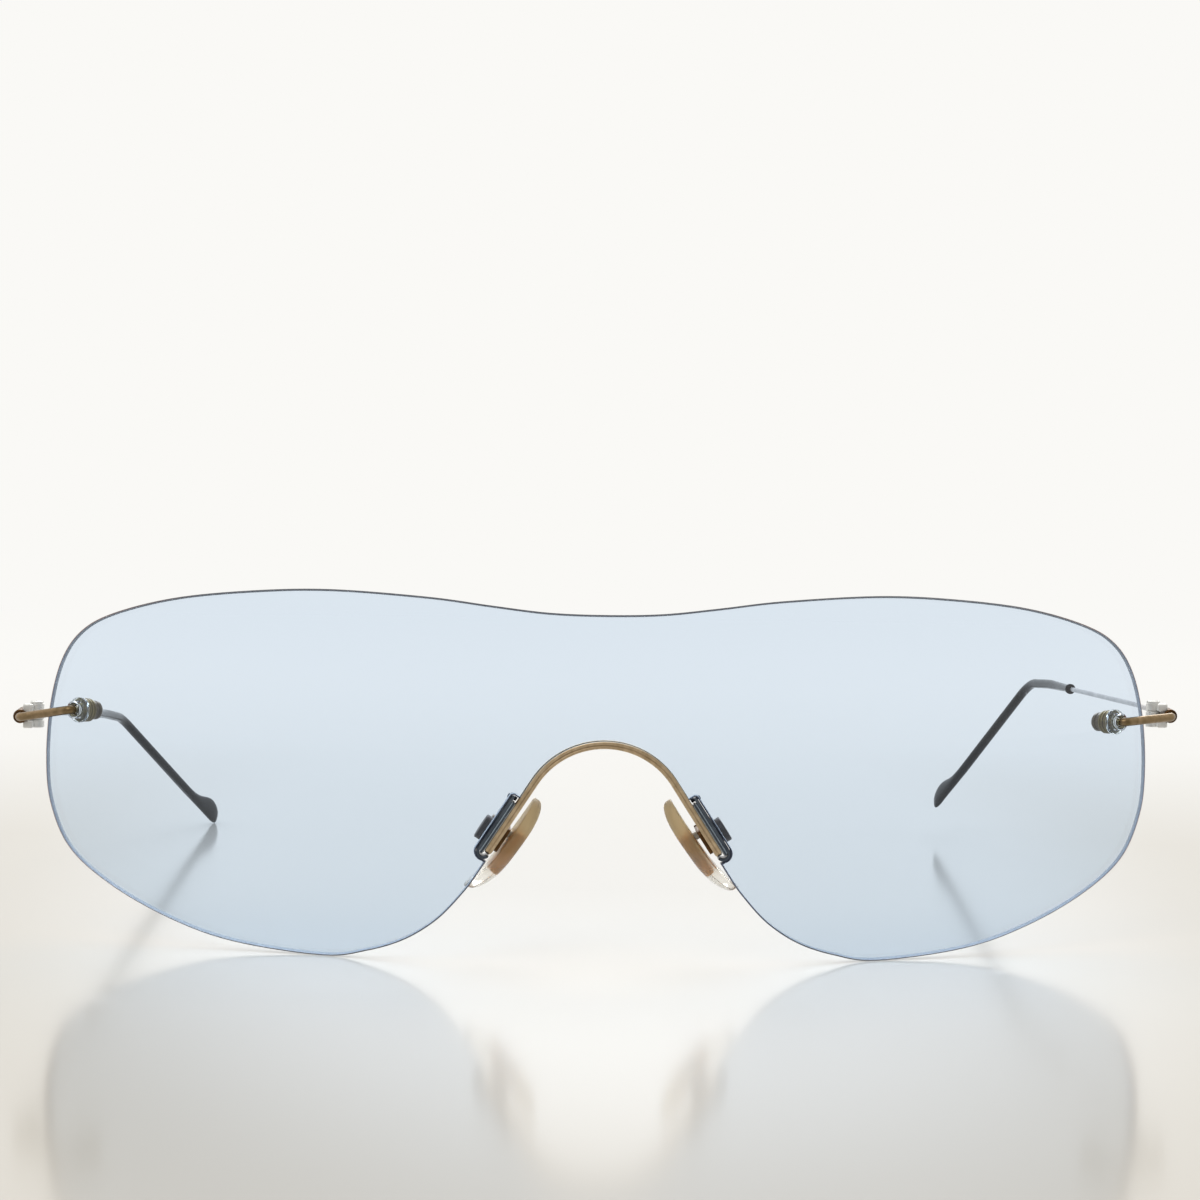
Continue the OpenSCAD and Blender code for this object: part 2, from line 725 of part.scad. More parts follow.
module lens_bushing() {
    at_hole() difference() {
        union() {
            translate([0, 0, -lens_t]) cylinder(h = lens_t, r = bushing_r, $fn = round_fn);
            translate([0, 0, -lens_t - seat_gap - flange_t])
                cylinder(h = flange_t, r = flange_r, $fn = round_fn);
            translate([0, 0, -lens_t - 2 * seat_gap])
                cylinder(h = 3 * seat_gap, r = bushing_r, $fn = round_fn);
        }
        translate([0, 0, -lens_t - flange_t - overrun])
            cylinder(h = lens_t + flange_t + 2 * overrun, r = stud_bore_r, $fn = round_fn);
    }
}

module lens_nut() {
    at_hole() translate([0, 0, -lens_t - 2 * seat_gap - flange_t - nut_h]) difference() {
        cylinder(h = nut_h, r = nut_r, $fn = round_fn);
        translate([0, 0, -overrun])
            cylinder(h = nut_h + 2 * overrun, r = stud_bore_r, $fn = round_fn);
    }
}

// Blind cap over the end of the stud
module end_cap() {
    rim = cap_h / 4;
    at_hole() translate([0, 0, -lens_t - 3 * seat_gap - flange_t - nut_h]) mirror([0, 0, 1])
        difference() {
            union() {
                cylinder(h = cap_h - rim, r = cap_r, $fn = round_fn);
                translate([0, 0, cap_h - rim])
                    cylinder(h = rim, r1 = cap_r, r2 = cap_r - rim, $fn = round_fn);
            }
            translate([0, 0, -overrun])
                cylinder(h = 0.7 * cap_h + overrun, r = stud_bore_r, $fn = round_fn);
        }
}

module hinge_screw(turn) {
    translate([hinge_x, hinge_y(turn), hinge_z(turn) - barrel_h / 2]) difference() {
        union() {
            cylinder(h = barrel_h + seat_gap, r = hinge_screw_r, $fn = round_fn);
            translate([0, 0, barrel_h])
                cylinder(h = hinge_head_h, r = hinge_head_r, $fn = round_fn);
        }
        translate([-hinge_head_r - overrun, -slot_w / 2, barrel_h + hinge_head_h / 2])
            cube([2 * (hinge_head_r + overrun), slot_w, hinge_head_h]);
    }
}

function temple_path(turn, lean, fall) = [
    ferrule_end(turn) - [0, ferrule_l / 4, 0], ferrule_end(turn),
    bend_p(turn, lean, fall), ear_p(turn, lean, fall)
];

// Wire with a ferrule and one knuckle at the front, running on inside its tip
module temple(turn, lean, fall, tip_lean, tip_z) {
    y = hinge_y(turn);
    z = hinge_z(turn);
    ear = ear_p(turn, lean, fall);
    tip = tip_p(turn, lean, fall, tip_lean, tip_z);
    difference() {
        union() {
            bent_rod(
                concat(temple_path(turn, lean, fall), [ear + wire_end_share * (tip - ear)]),
                [ferrule_bend_r, sleeve_bend_r, ear_bend_r], temple_r, temple_r);
            translate([temple_x, y + butt_gap, z]) rotate([-90, 0, 0])
                cylinder(h = ferrule_l - ferrule_taper, r = ferrule_r, $fn = round_fn);
            translate([temple_x, y + butt_gap + ferrule_l - ferrule_taper, z]) rotate([-90, 0, 0])
                cylinder(h = ferrule_taper, r1 = ferrule_r, r2 = temple_r, $fn = round_fn);
            translate([hinge_x, y, z - mid_h / 2])
                cylinder(h = mid_h, r = knuckle_r, $fn = round_fn);
            translate([hinge_x, y + butt_gap, z - mid_h / 2])
                cube([temple_x - hinge_x, 2 * knuckle_r, mid_h]);
        }
        translate([hinge_x, y, z - barrel_h])
            cylinder(h = 2 * barrel_h, r = hinge_bore_r, $fn = round_fn);
    }
}

// Black sleeve over the rear of the wire, ending in a flat blade
module temple_tip(turn, lean, fall, tip_lean, tip_z, blade_turn) {
    from = ferrule_end(turn) + (sleeve_at - ferrule_l) * aim(lean, fall);
    bend = bend_p(turn, lean, fall);
    ear = ear_p(turn, lean, fall);
    tip = tip_p(turn, lean, fall, tip_lean, tip_z);
    leg = (tip - ear) / leg_l;
    stop = tip - blade_l / 2 * leg;
    difference() {
        union() {
            bent_rod([from, bend, ear, stop], [sleeve_bend_r, ear_bend_r], sleeve_r, sleeve_front_r);
            rod(from, from + collar_l * aim(lean, fall), collar_r, collar_r);
            along(tip, leg) rotate([0, 0, blade_turn]) blade();
        }
        bent_rod([
            from - overrun * aim(lean, fall), bend, ear, ear + (wire_end_share * leg_l + seat_gap) * leg
        ], [sleeve_bend_r, ear_bend_r], temple_r + fit_gap, temple_r + fit_gap);
    }
}

// A frame whose Z runs along w and whose X lies level
module along(p, w) {
    c = cross(w, [0, 0, 1]);
    u = c / norm(c);
    v = cross(w, u);
    multmatrix([
        [u[0], v[0], w[0], p[0]], [u[1], v[1], w[1], p[1]],
        [u[2], v[2], w[2], p[2]], [0, 0, 0, 1]
    ]) children();
}

module blade() {
    translate([-blade_t / 2, 0, 0]) rotate([90, 0, 90]) linear_extrude(blade_t)
        polygon([for (s = blade_shares) [-s[0] * blade_w, (s[1] - 1) * blade_l]]);
}

module left_band_hook() { color("dimgray") left_side() band_hook(); }
module right_band_hook() { color("dimgray") placed() band_hook(); }
module left_clamp_key() { color("aliceblue", 0.6) left_side() clamp_key(); }
module right_clamp_key() { color("aliceblue", 0.6) placed() clamp_key(); }
module left_clamp_screw() { color("darkslategray") left_side() clamp_screw(); }
module right_clamp_screw() { color("darkslategray") placed() clamp_screw(); }
module left_pad_arm() { color("saddlebrown") left_side() pad_arm(); }
module right_pad_arm() { color("saddlebrown") placed() pad_arm(); }
module left_pad_screw() { color("silver") left_side() pad_screw(); }
module right_pad_screw() { color("silver") placed() pad_screw(); }
module left_pad_core() { color("peru") left_side() pad_core(); }
module right_pad_core() { color("peru") placed() pad_core(); }
module left_nose_pad() { color("wheat", 0.6) left_side() nose_pad(); }
module right_nose_pad() { color("wheat", 0.6) placed() nose_pad(); }
module left_end_piece() { color("rosybrown") left_side() end_piece(left_turn_angle); }
module right_end_piece() { color("rosybrown") placed() end_piece(right_turn_angle); }
module left_lens_bushing() { color("ghostwhite", 0.6) left_side() lens_bushing(); }
module right_lens_bushing() { color("ghostwhite", 0.6) placed() lens_bushing(); }
module left_lens_nut() { color("darkkhaki") left_side() lens_nut(); }
module right_lens_nut() { color("darkkhaki") placed() lens_nut(); }
module left_end_cap() { color("dimgray") left_side() end_cap(); }
module right_end_cap() { color("dimgray") placed() end_cap(); }
module left_hinge_screw() { color("silver") left_side() hinge_screw(left_turn_angle); }
module right_hinge_screw() { color("silver") placed() hinge_screw(right_turn_angle); }
module left_temple() {
    color("silver") left_side()
        temple(left_turn_angle, left_lean_angle, left_fall_angle, left_tip_angle, left_tip_z);
}
module right_temple() {
    color("silver") placed()
        temple(right_turn_angle, right_lean_angle, right_fall_angle, right_tip_angle, right_tip_z);
}
module left_temple_tip() {
    color("black") left_side()
        temple_tip(left_turn_angle, left_lean_angle, left_fall_angle,
            left_tip_angle, left_tip_z, left_blade_angle);
}
module right_temple_tip() {
    color("black") placed()
        temple_tip(right_turn_angle, right_lean_angle, right_fall_angle,
            right_tip_angle, right_tip_z, right_blade_angle);
}

shield_lens();
bridge_band();
left_band_hook();
right_band_hook();
left_clamp_key();
right_clamp_key();
left_clamp_screw();
right_clamp_screw();
left_pad_arm();
right_pad_arm();
left_pad_screw();
right_pad_screw();
left_pad_core();
right_pad_core();
left_nose_pad();
right_nose_pad();
left_end_piece();
right_end_piece();
left_lens_bushing();
right_lens_bushing();
left_lens_nut();
right_lens_nut();
left_end_cap();
right_end_cap();
left_hinge_screw();
right_hinge_screw();
left_temple();
right_temple();
left_temple_tip();
right_temple_tip();
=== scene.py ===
# %% [markdown]
# # Rimless shield sunglasses
# One curved pale blue lens carries everything: a metal band lines its nose
# cut-out, small clamps on the band hold two soft nose pads, and a bent wire
# through each side of the lens ends in a hinge for a thin wire temple. This
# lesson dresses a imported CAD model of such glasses. Every CAD solid gets a finer
# piece of the same size in the same place, and every surface a finish that is
# worked out from the material it is made of.

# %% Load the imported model
import json
import math
import bpy
import bmesh
from mathutils import Matrix, Vector, geometry


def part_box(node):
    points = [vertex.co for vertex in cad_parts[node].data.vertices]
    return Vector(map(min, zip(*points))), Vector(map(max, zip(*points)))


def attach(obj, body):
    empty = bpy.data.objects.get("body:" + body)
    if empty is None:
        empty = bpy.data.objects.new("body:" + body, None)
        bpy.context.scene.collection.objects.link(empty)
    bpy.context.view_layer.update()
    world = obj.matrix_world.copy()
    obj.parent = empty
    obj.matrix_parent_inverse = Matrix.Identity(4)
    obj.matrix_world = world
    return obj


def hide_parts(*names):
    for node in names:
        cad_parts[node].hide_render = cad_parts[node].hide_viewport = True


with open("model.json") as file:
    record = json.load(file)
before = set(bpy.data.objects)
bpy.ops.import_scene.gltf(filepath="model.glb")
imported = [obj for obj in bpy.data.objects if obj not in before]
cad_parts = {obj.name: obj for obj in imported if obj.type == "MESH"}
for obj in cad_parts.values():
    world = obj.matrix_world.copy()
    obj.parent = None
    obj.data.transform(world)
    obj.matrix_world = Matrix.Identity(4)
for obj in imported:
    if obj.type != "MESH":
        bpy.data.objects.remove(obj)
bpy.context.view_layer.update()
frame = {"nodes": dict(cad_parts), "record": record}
print("CAD nodes:", len(frame["nodes"]))

# %% [markdown]
# ## One set of measures
# The glasses are drawn in millimetres from the front of the lens: X to the
# right, Y back along the temples, Z up from the table. The lens is a piece of a
# shell between two balls, so one function gives the depth of any point on it.
# The CAD frame has its origin under the middle of the whole object. The bridge
# band reaches furthest forward at the top of its arch, and that tells how far to
# move.

# %% Lens shell and the move into the CAD frame
MM = 0.001
BALL_R, BALL_Z, LENS_T = 106.0, 22.0, 1.8


def lens_y(x, z, behind=0.0):
    """Depth of the lens's front face, or of a face that far behind it."""
    return BALL_R - math.sqrt((BALL_R - behind) ** 2 - x * x - (z - BALL_Z) ** 2)


ARCH_TOP, BAND_PROUD = 26.9, 0.25
SHIFT_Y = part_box("bridge_band")[0].y / MM - (lens_y(0, ARCH_TOP) - BAND_PROUD)


def placed(p, side=1):
    """A point in millimetres, mirrored for the left side, in the CAD frame."""
    return Vector((side * p[0], p[1] + SHIFT_Y, p[2])) * MM


print("lens front in the CAD frame at y =", round(SHIFT_Y, 3), "mm")

# %% [markdown]
# ## Sizes of the fixings
# Both nose clamps sit in a frame of their own on the straight side of the
# cut-out: its X points out into the lens, Y back and Z up along the side. From
# the cut-out outwards come band, clear key, hook and screw head, and behind the
# lens the tabs, the pad's box and its lug follow each other with small gaps. The
# fixings in the side holes use a frame whose Z points out of the lens. The left
# half is built with its own angles and then mirrored, because the two temples
# of this pair are bent a little differently.

# %% Placement frames
ARCH_R, ARCH_ANGLE = 9.7, 32.8
ARCH_Z, ARCH = ARCH_TOP - ARCH_R, math.radians(ARCH_ANGLE)
SIDE_N = Vector((math.cos(ARCH), math.sin(ARCH)))
SIDE_T = Vector((-math.sin(ARCH), math.cos(ARCH)))
SIDE_AT = Vector((0, ARCH_Z)) + ARCH_R * SIDE_N
CLAMP_Z = 15.5
CLAMP_X = SIDE_AT.x + (SIDE_AT.y - CLAMP_Z) * math.tan(ARCH)
CLAMP = Matrix.Translation((CLAMP_X, 0, CLAMP_Z)) @ Matrix.Rotation(-ARCH, 4, "Y")
BAND_T, KEY_T, HOOK_T = 0.9, 0.55, 0.4
KEY_OUT, HOOK_OUT = BAND_T + KEY_T, BAND_T + KEY_T + HOOK_T
HEAD_R, HEAD_H, SHANK_R = 1.6, 0.95, 0.5
PLAY, GAP = 0.09, 0.06
SLOT_W, SLOT_D = 0.35, 0.4
HEAD_AT = Vector((CLAMP_X, CLAMP_Z)) + (HOOK_OUT + HEAD_H / 2) * SIDE_N
CLAMP_Y = lens_y(HEAD_AT.x, HEAD_AT.y, LENS_T) + HEAD_R + PLAY
TAB_BACK = CLAMP_Y + HEAD_R + PLAY
CHEEK_T, LUG_W, LUG_R = 0.5, 1.2, 0.9
BOX_FRONT = TAB_BACK + GAP
PAD_Y = BOX_FRONT + CHEEK_T + GAP + LUG_W / 2
BOX_BACK = PAD_Y + LUG_W / 2 + GAP + CHEEK_T
PAD_BACK, PAD_DOWN, PAD_TILT = -1.0, 0.75, math.radians(-3)
PAD = CLAMP @ Matrix.Translation((PAD_BACK, PAD_Y, 0)) @ Matrix.Rotation(PAD_TILT, 4, "Y") \
    @ Matrix.Translation((0, 0, -PAD_DOWN))
PIVOT_OUT, PIVOT_UP = 0.6, 0.6
HOLE_X, HOLE_Z, HOLE_R = 67.2, 28.9, 0.95
HOLE_UP = math.asin((HOLE_Z - BALL_Z) / BALL_R)
HOLE_ROUND = math.asin(HOLE_X / (BALL_R * math.cos(HOLE_UP)))
HOLE = Matrix.Translation((0, BALL_R, BALL_Z)) @ Matrix.Rotation(HOLE_ROUND, 4, "Z") \
    @ Matrix.Rotation(math.pi / 2 - HOLE_UP, 4, "X") @ Matrix.Translation((0, 0, BALL_R))
HOLE_N = (HOLE.to_3x3() @ Vector((0, 0, 1))).normalized()
print("clamp screw at", [round(v, 2) for v in (CLAMP_X, CLAMP_Y, CLAMP_Z)],
      "pad pivot depth", round(PAD_Y, 2))

# %% [markdown]
# From the hole each side follows one chain of points: along the front of the
# lens to an elbow, back to the hinge, then ferrule, wire, black sleeve, the bend
# over the ear and the leg down to the tip. The lean inwards and the fall of each
# run are in degrees.

# %% Wire route of each side
TEMPLE_X, HINGE_X = 74.65, 72.72
WIRE_R, SLEEVE_R = 0.55, 0.68
RUN_UP, ELBOW_R, STUD_L, BACK_RUN = WIRE_R + GAP, 1.3, 5.11, 3.3
BUTT_GAP, FERRULE_L = 0.12, 4.5
SLEEVE_RUN, BEND_RUN, EAR_RUN, LEG_L = 57.5, 71.5, 13.2, 38.6
EAR_LEAN, EAR_FALL = 1.6, 2.2
BLADE_LOW = 0.33 * SLEEVE_R


def aim(lean, fall):
    """Direction that leans inwards and falls by so many degrees on its way back."""
    lean, fall = math.radians(lean), math.radians(fall)
    return Vector((-math.sin(lean) * math.cos(fall), math.cos(lean) * math.cos(fall), -math.sin(fall)))


def route(name, x, turn, lean, fall, tip_lean, tip_z, blade):
    """All points that the wire, the temple and its tip run through on one side."""
    hole_a = Vector((math.cos(HOLE_ROUND), math.sin(HOLE_ROUND), 0))
    hole_b = HOLE_N.cross(hole_a)
    turn = math.radians(turn)
    run = math.cos(turn) * hole_a + math.sin(turn) * hole_b
    hole = Vector((HOLE_X, lens_y(HOLE_X, HOLE_Z), HOLE_Z))
    corner = hole + RUN_UP * HOLE_N
    elbow = corner + run * (TEMPLE_X - corner.x) / run.x
    hinge = Vector((HINGE_X, elbow.y + BACK_RUN, elbow.z))
    ferrule_end = Vector((TEMPLE_X, hinge.y + BUTT_GAP + FERRULE_L, hinge.z))
    sleeve = ferrule_end + SLEEVE_RUN * aim(lean, fall)
    bend = ferrule_end + BEND_RUN * aim(lean, fall)
    ear = bend + EAR_RUN * aim(lean + EAR_LEAN, fall + EAR_FALL)
    leg_fall = math.degrees(math.asin((ear.z - tip_z - BLADE_LOW) / LEG_L))
    leg = aim(tip_lean, leg_fall)
    return {"name": name, "x": x, "stud": hole - STUD_L * HOLE_N, "corner": corner, "elbow": elbow,
            "hinge": hinge, "ferrule_end": ferrule_end, "sleeve": sleeve, "bend": bend, "ear": ear,
            "leg": leg, "tip": ear + LEG_L * leg, "lean": lean, "fall": fall, "blade": blade}


LEFT = route("left", -1, -9.5, 3, 5, 21.6, 0.05, 0)
RIGHT = route("right", 1, 1.5, 3.4, 1.5, 19.8, 3.9, 14)
for s in (LEFT, RIGHT):
    print(s["name"], "hinge", [round(v, 2) for v in placed(s["hinge"], s["x"]) / MM],
          "tip", [round(v, 2) for v in placed(s["tip"], s["x"]) / MM])

# %% [markdown]
# ## Colour and nodes
# Colours are written as sRGB hex values, as a paint shop would name them, and
# one function turns them into the linear values that Blender's shaders expect.
# One small helper adds any node with its settings and its links.

# %% Colour and node helpers


def linear(hexa):
    """sRGB hex to linear red, green, blue and full opacity."""
    parts = [int(hexa[i:i + 2], 16) / 255 for i in (0, 2, 4)]
    return tuple(c / 12.92 if c <= 0.04045 else ((c + 0.055) / 1.055) ** 2.4 for c in parts) + (1.0,)


def add(tree, kind, settings=None, links=None):
    """Adds one node; settings name a property, a socket or a ramp's stops, links name sockets."""
    node = tree.nodes.new(kind)
    for key, value in (settings or {}).items():
        if key == "stops":
            for number, (place, shade) in enumerate(value):
                stops = node.color_ramp.elements
                stop = stops[number] if number < 2 else stops.new(place)
                stop.position, stop.color = place, linear(shade)
        elif isinstance(key, str) and key in node.bl_rna.properties:
            setattr(node, key, value)
        else:
            node.inputs[key].default_value = value
    for key, source in (links or {}).items():
        tree.links.new(source, node.inputs[key])
    return node


def start_material(name, settings):
    """A material with one main shader, and its place in millimetres for patterns."""
    material = bpy.data.materials.new(name)
    material.use_nodes = True
    tree = material.node_tree
    tree.nodes.clear()
    shader = add(tree, "ShaderNodeBsdfPrincipled", settings)
    add(tree, "ShaderNodeOutputMaterial", links={"Surface": shader.outputs[0]})
    where = add(tree, "ShaderNodeTexCoord").outputs["Object"]
    in_mm = add(tree, "ShaderNodeVectorMath", {"operation": "SCALE", "Scale": 1 / MM}, {0: where})
    return material, tree, shader, in_mm.outputs[0]


print("linear of C8B89A:", [round(v, 3) for v in linear("C8B89A")])

# %% [markdown]
# ## Making meshes
# Thin wire goods come down to a few ways of making a surface: a profile turned
# on a lathe, a round wire pulled along a path, a strip rolled along a line on
# the lens, and a small plate or block with softened edges. Each helper below
# returns points and faces in millimetres, and one function turns them into a
# piece that sits on the right body and stands for its CAD node.

# %% From points and faces to a piece


def make_piece(name, parts, materials, body, nodes, side=1, sharp=35.0):
    """Joins (points, faces, material number) parts into one piece of the glasses."""
    points, faces, finish = [], [], []
    for part_points, part_faces, number in parts:
        start = len(points)
        points += [placed(p, side) for p in part_points]
        for face in part_faces:
            loop = [start + i for i in face]
            faces.append(loop if side > 0 else loop[::-1])
            finish.append(number)
    mesh = bpy.data.meshes.new(name)
    mesh.from_pydata(points, [], faces)
    for material in materials:
        mesh.materials.append(material)
    mesh.polygons.foreach_set("material_index", finish)
    mesh.polygons.foreach_set("use_smooth", [True] * len(faces))
    builder = bmesh.new()
    builder.from_mesh(mesh)
    bmesh.ops.recalc_face_normals(builder, faces=builder.faces)
    builder.to_mesh(mesh)
    builder.free()
    mesh.set_sharp_from_angle(angle=math.radians(sharp))
    piece = bpy.data.objects.new(name, mesh)
    bpy.context.scene.collection.objects.link(piece)
    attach(piece, body)
    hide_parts(*nodes)
    return piece


def at(matrix, part):
    """Moves a part's points by a placement frame."""
    points, faces = part
    return [matrix @ Vector(p) for p in points], faces


# %% [markdown]
# ### Turned parts
# Screws, nuts, caps, bushings and ferrules are turned, so a half profile of
# radius and height goes round an axis. A profile that starts and ends at radius
# nought closes itself; one that comes back to its start makes a ring with a bore.

# %% Lathe


def lathe(profile, sides=48):
    """Turns a list of (radius, height) about Z."""
    points, faces, rings = [], [], []
    for r, h in profile:
        if r < 1e-6:
            rings.append([len(points)])
            points.append((0, 0, h))
        else:
            rings.append(list(range(len(points), len(points) + sides)))
            points += [(r * math.cos(2 * math.pi * k / sides), r * math.sin(2 * math.pi * k / sides), h)
                       for k in range(sides)]
    closed = profile[0] == profile[-1] and profile[0][0] > 0
    if closed:
        points = points[:rings[-1][0]]
        rings[-1] = rings[0]
    for a, b in zip(rings, rings[1:]):
        for k in range(sides):
            n = (k + 1) % sides
            if len(a) == 1 and len(b) > 1:
                faces.append((a[0], b[n], b[k]))
            elif len(b) == 1 and len(a) > 1:
                faces.append((a[k], a[n], b[0]))
            elif len(a) > 1:
                faces.append((a[k], a[n], b[n], b[k]))
    return points, faces


def rounded(corners, radius=0.08, steps=3):
    """Softens each inner corner of a profile, as a turning tool or a tumbler does."""
    out = [corners[0]]
    for a, p, b in zip(corners, corners[1:], corners[2:]):
        a, p, b = Vector(a), Vector(p), Vector(b)
        cut = min(radius, (a - p).length * 0.45, (b - p).length * 0.45)
        start, end = p + (a - p).normalized() * cut, p + (b - p).normalized() * cut
        for k in range(steps + 1):
            t = k / steps
            q = (1 - t) ** 2 * start + 2 * t * (1 - t) * p + t * t * end
            out.append((q.x, q.y))
    out.append(tuple(corners[-1]))
    return out


# %% [markdown]
# ### Wire
# Wire is drawn round and then bent over pins. The path gets a true arc at each
# bend, and the round section is carried along it without twisting. Both ends
# are rounded over, as a cut wire is after tumbling.

# %% Bent wire


def bent_path(points, bends, step=6.0):
    """A path of straight runs and arcs."""
    path = [Vector(points[0])]
    for i in range(1, len(points) - 1):
        a, p, b = (Vector(q) for q in points[i - 1:i + 2])
        u, w = (p - a).normalized(), (b - p).normalized()
        angle = math.acos(max(-1, min(1, u.dot(w))))
        start = p - u * bends[i - 1] * math.tan(angle / 2)
        middle = p + (w - u).normalized() * bends[i - 1] / math.cos(angle / 2)
        steps = max(3, math.ceil(math.degrees(angle) / step))
        for k in range(steps + 1):
            turn = Matrix.Rotation(angle * k / steps, 3, u.cross(w).normalized())
            path.append(middle + turn @ (start - middle))
    path.append(Vector(points[-1]))
    return path


def along(path):
    """(direction, across, across) at each point of a path, without twist."""
    dirs = [(path[min(i + 1, len(path) - 1)] - path[max(i - 1, 0)]).normalized() for i in range(len(path))]
    start = Vector((0, 0, 1)) if abs(dirs[0].z) < 0.9 else Vector((1, 0, 0))
    u = dirs[0].cross(start).normalized()
    out = []
    for i, d in enumerate(dirs):
        if i:
            u = dirs[i - 1].rotation_difference(d) @ u
            u = (u - u.dot(d) * d).normalized()
        out.append((d, u, d.cross(u)))
    return out


def wire(path, radius, edge=None, sides=32):
    """A round wire; radius is one number or one per point, edge rounds its ends."""
    radii = radius if isinstance(radius, list) else [radius] * len(path)
    edge = min(radii[0], radii[-1]) * 0.6 if edge is None else edge
    frames = along(path)
    turns = [math.pi / 2 * k / 4 for k in range(5)]
    first, last = frames[0], frames[-1]
    stations = [(path[0] + first[0] * edge * (1 - math.sin(a)), radii[0] - edge * (1 - math.cos(a)), first)
                for a in turns[::-1]]
    stations += [(p, r, f) for p, r, f in zip(path[1:-1], radii[1:-1], frames[1:-1])]
    stations += [(path[-1] - last[0] * edge * (1 - math.sin(a)), radii[-1] - edge * (1 - math.cos(a)), last)
                 for a in turns]
    points, faces = [], []
    for p, r, (_, u, v) in stations:
        points += [p + r * (math.cos(2 * math.pi * k / sides) * u + math.sin(2 * math.pi * k / sides) * v)
                   for k in range(sides)]
    for i in range(len(stations) - 1):
        for k in range(sides):
            n = (k + 1) % sides
            faces.append((i * sides + k, i * sides + n, (i + 1) * sides + n, (i + 1) * sides + k))
    faces.append(tuple(range(sides))[::-1])
    faces.append(tuple(range(len(points) - sides, len(points))))
    return points, faces


# %% [markdown]
# ### Strip on the lens
# The band and its hooks are rolled strip. Each runs along a flat line in front
# view, and its section is given as a distance to the left of that line and a
# depth behind the front of the lens, so its edges follow the lens's curve.

# %% Strip


def strip(line, section, ends=((0.0, 0.88), (0.12, 1.0))):
    """Sweeps a section of (left, behind) along (x, z) points; it shrinks towards both ends."""
    line = [Vector(p) for p in line]
    dirs = [(line[min(i + 1, len(line) - 1)] - line[max(i - 1, 0)]).normalized() for i in range(len(line))]
    middle = Vector((sum(s[0] for s in section), sum(s[1] for s in section))) / len(section)
    stations = [(line[0] + dirs[0] * run, dirs[0], size) for run, size in ends]
    stations += [(p, d, 1.0) for p, d in zip(line[1:-1], dirs[1:-1])]
    stations += [(line[-1] - dirs[-1] * run, dirs[-1], size) for run, size in reversed(ends)]
    points, faces, n = [], [], len(section)
    for p, d, size in stations:
        left = Vector((-d.y, d.x))
        for a, b in section:
            q = middle + (Vector((a, b)) - middle) * size
            x, z = p + left * q.x
            points.append((x, lens_y(x, z, q.y), z))
    for i in range(len(stations) - 1):
        for k in range(n):
            m = (k + 1) % n
            faces.append((i * n + k, (i + 1) * n + k, (i + 1) * n + m, i * n + m))
    faces.append(tuple(range(n)))
    faces.append(tuple(range(len(points) - n, len(points)))[::-1])
    return points, faces


# %% [markdown]
# ### Plates and blocks
# The small stamped and milled bits are blocks whose edges were tumbled. A bevel
# on every edge catches the light, which is what tells the eye that they are
# metal. A plate is cut from an outline and softened the same way.

# %% Blocks and plates


def softened(mesh_builder, edge):
    """Bevels every edge sharper than 30 degrees and returns points and faces."""
    folded = [e for e in mesh_builder.edges if len(e.link_faces) == 2]
    sharp = [e for e in folded if e.calc_face_angle() > math.radians(30)]
    bmesh.ops.bevel(mesh_builder, geom=sharp, offset=edge, segments=3, profile=0.5, affect="EDGES",
                    clamp_overlap=True)
    mesh_builder.verts.index_update()
    points = [v.co.copy() for v in mesh_builder.verts]
    faces = [tuple(v.index for v in f.verts) for f in mesh_builder.faces]
    mesh_builder.free()
    return points, faces


def block(low, high, edge=0.08):
    """A block between two corners, with softened edges."""
    low, high = Vector(low), Vector(high)
    builder = bmesh.new()
    bmesh.ops.create_cube(builder, size=1)
    for v in builder.verts:
        v.co = Vector([(low[i] + high[i]) / 2 + v.co[i] * (high[i] - low[i]) for i in range(3)])
    return softened(builder, edge)


def plate(outline, low, high, edge=0.08):
    """A flat outline in X and Y, between two heights, with softened edges."""
    builder = bmesh.new()
    face = builder.faces.new([builder.verts.new((x, y, low)) for x, y in outline])
    grown = bmesh.ops.extrude_face_region(builder, geom=[face])["geom"]
    for v in grown:
        if isinstance(v, bmesh.types.BMVert):
            v.co.z = high
    bmesh.ops.recalc_face_normals(builder, faces=builder.faces)
    return softened(builder, edge)


def slotted(piece, low, high, matrix, side):
    """Saws a slot between two corners of a placement frame out of a piece."""
    points, faces = at(matrix, block(low, high, 0.02))
    mesh = bpy.data.meshes.new("slot_cut")
    mesh.from_pydata([placed(p, side) for p in points], [], faces if side > 0 else [f[::-1] for f in faces])
    cutter = bpy.data.objects.new("slot_cut", mesh)
    bpy.context.scene.collection.objects.link(cutter)
    cut = piece.modifiers.new("slot", "BOOLEAN")
    cut.operation, cut.solver, cut.object = "DIFFERENCE", "EXACT", cutter
    bpy.context.view_layer.update()
    made = bpy.data.meshes.new_from_object(piece.evaluated_get(bpy.context.evaluated_depsgraph_get()))
    piece.modifiers.remove(cut)
    old, piece.data = piece.data, made
    bpy.data.meshes.remove(old)
    bpy.data.objects.remove(cutter)
    piece.data.set_sharp_from_angle(angle=math.radians(35))
    return piece


print("mesh helpers ready")
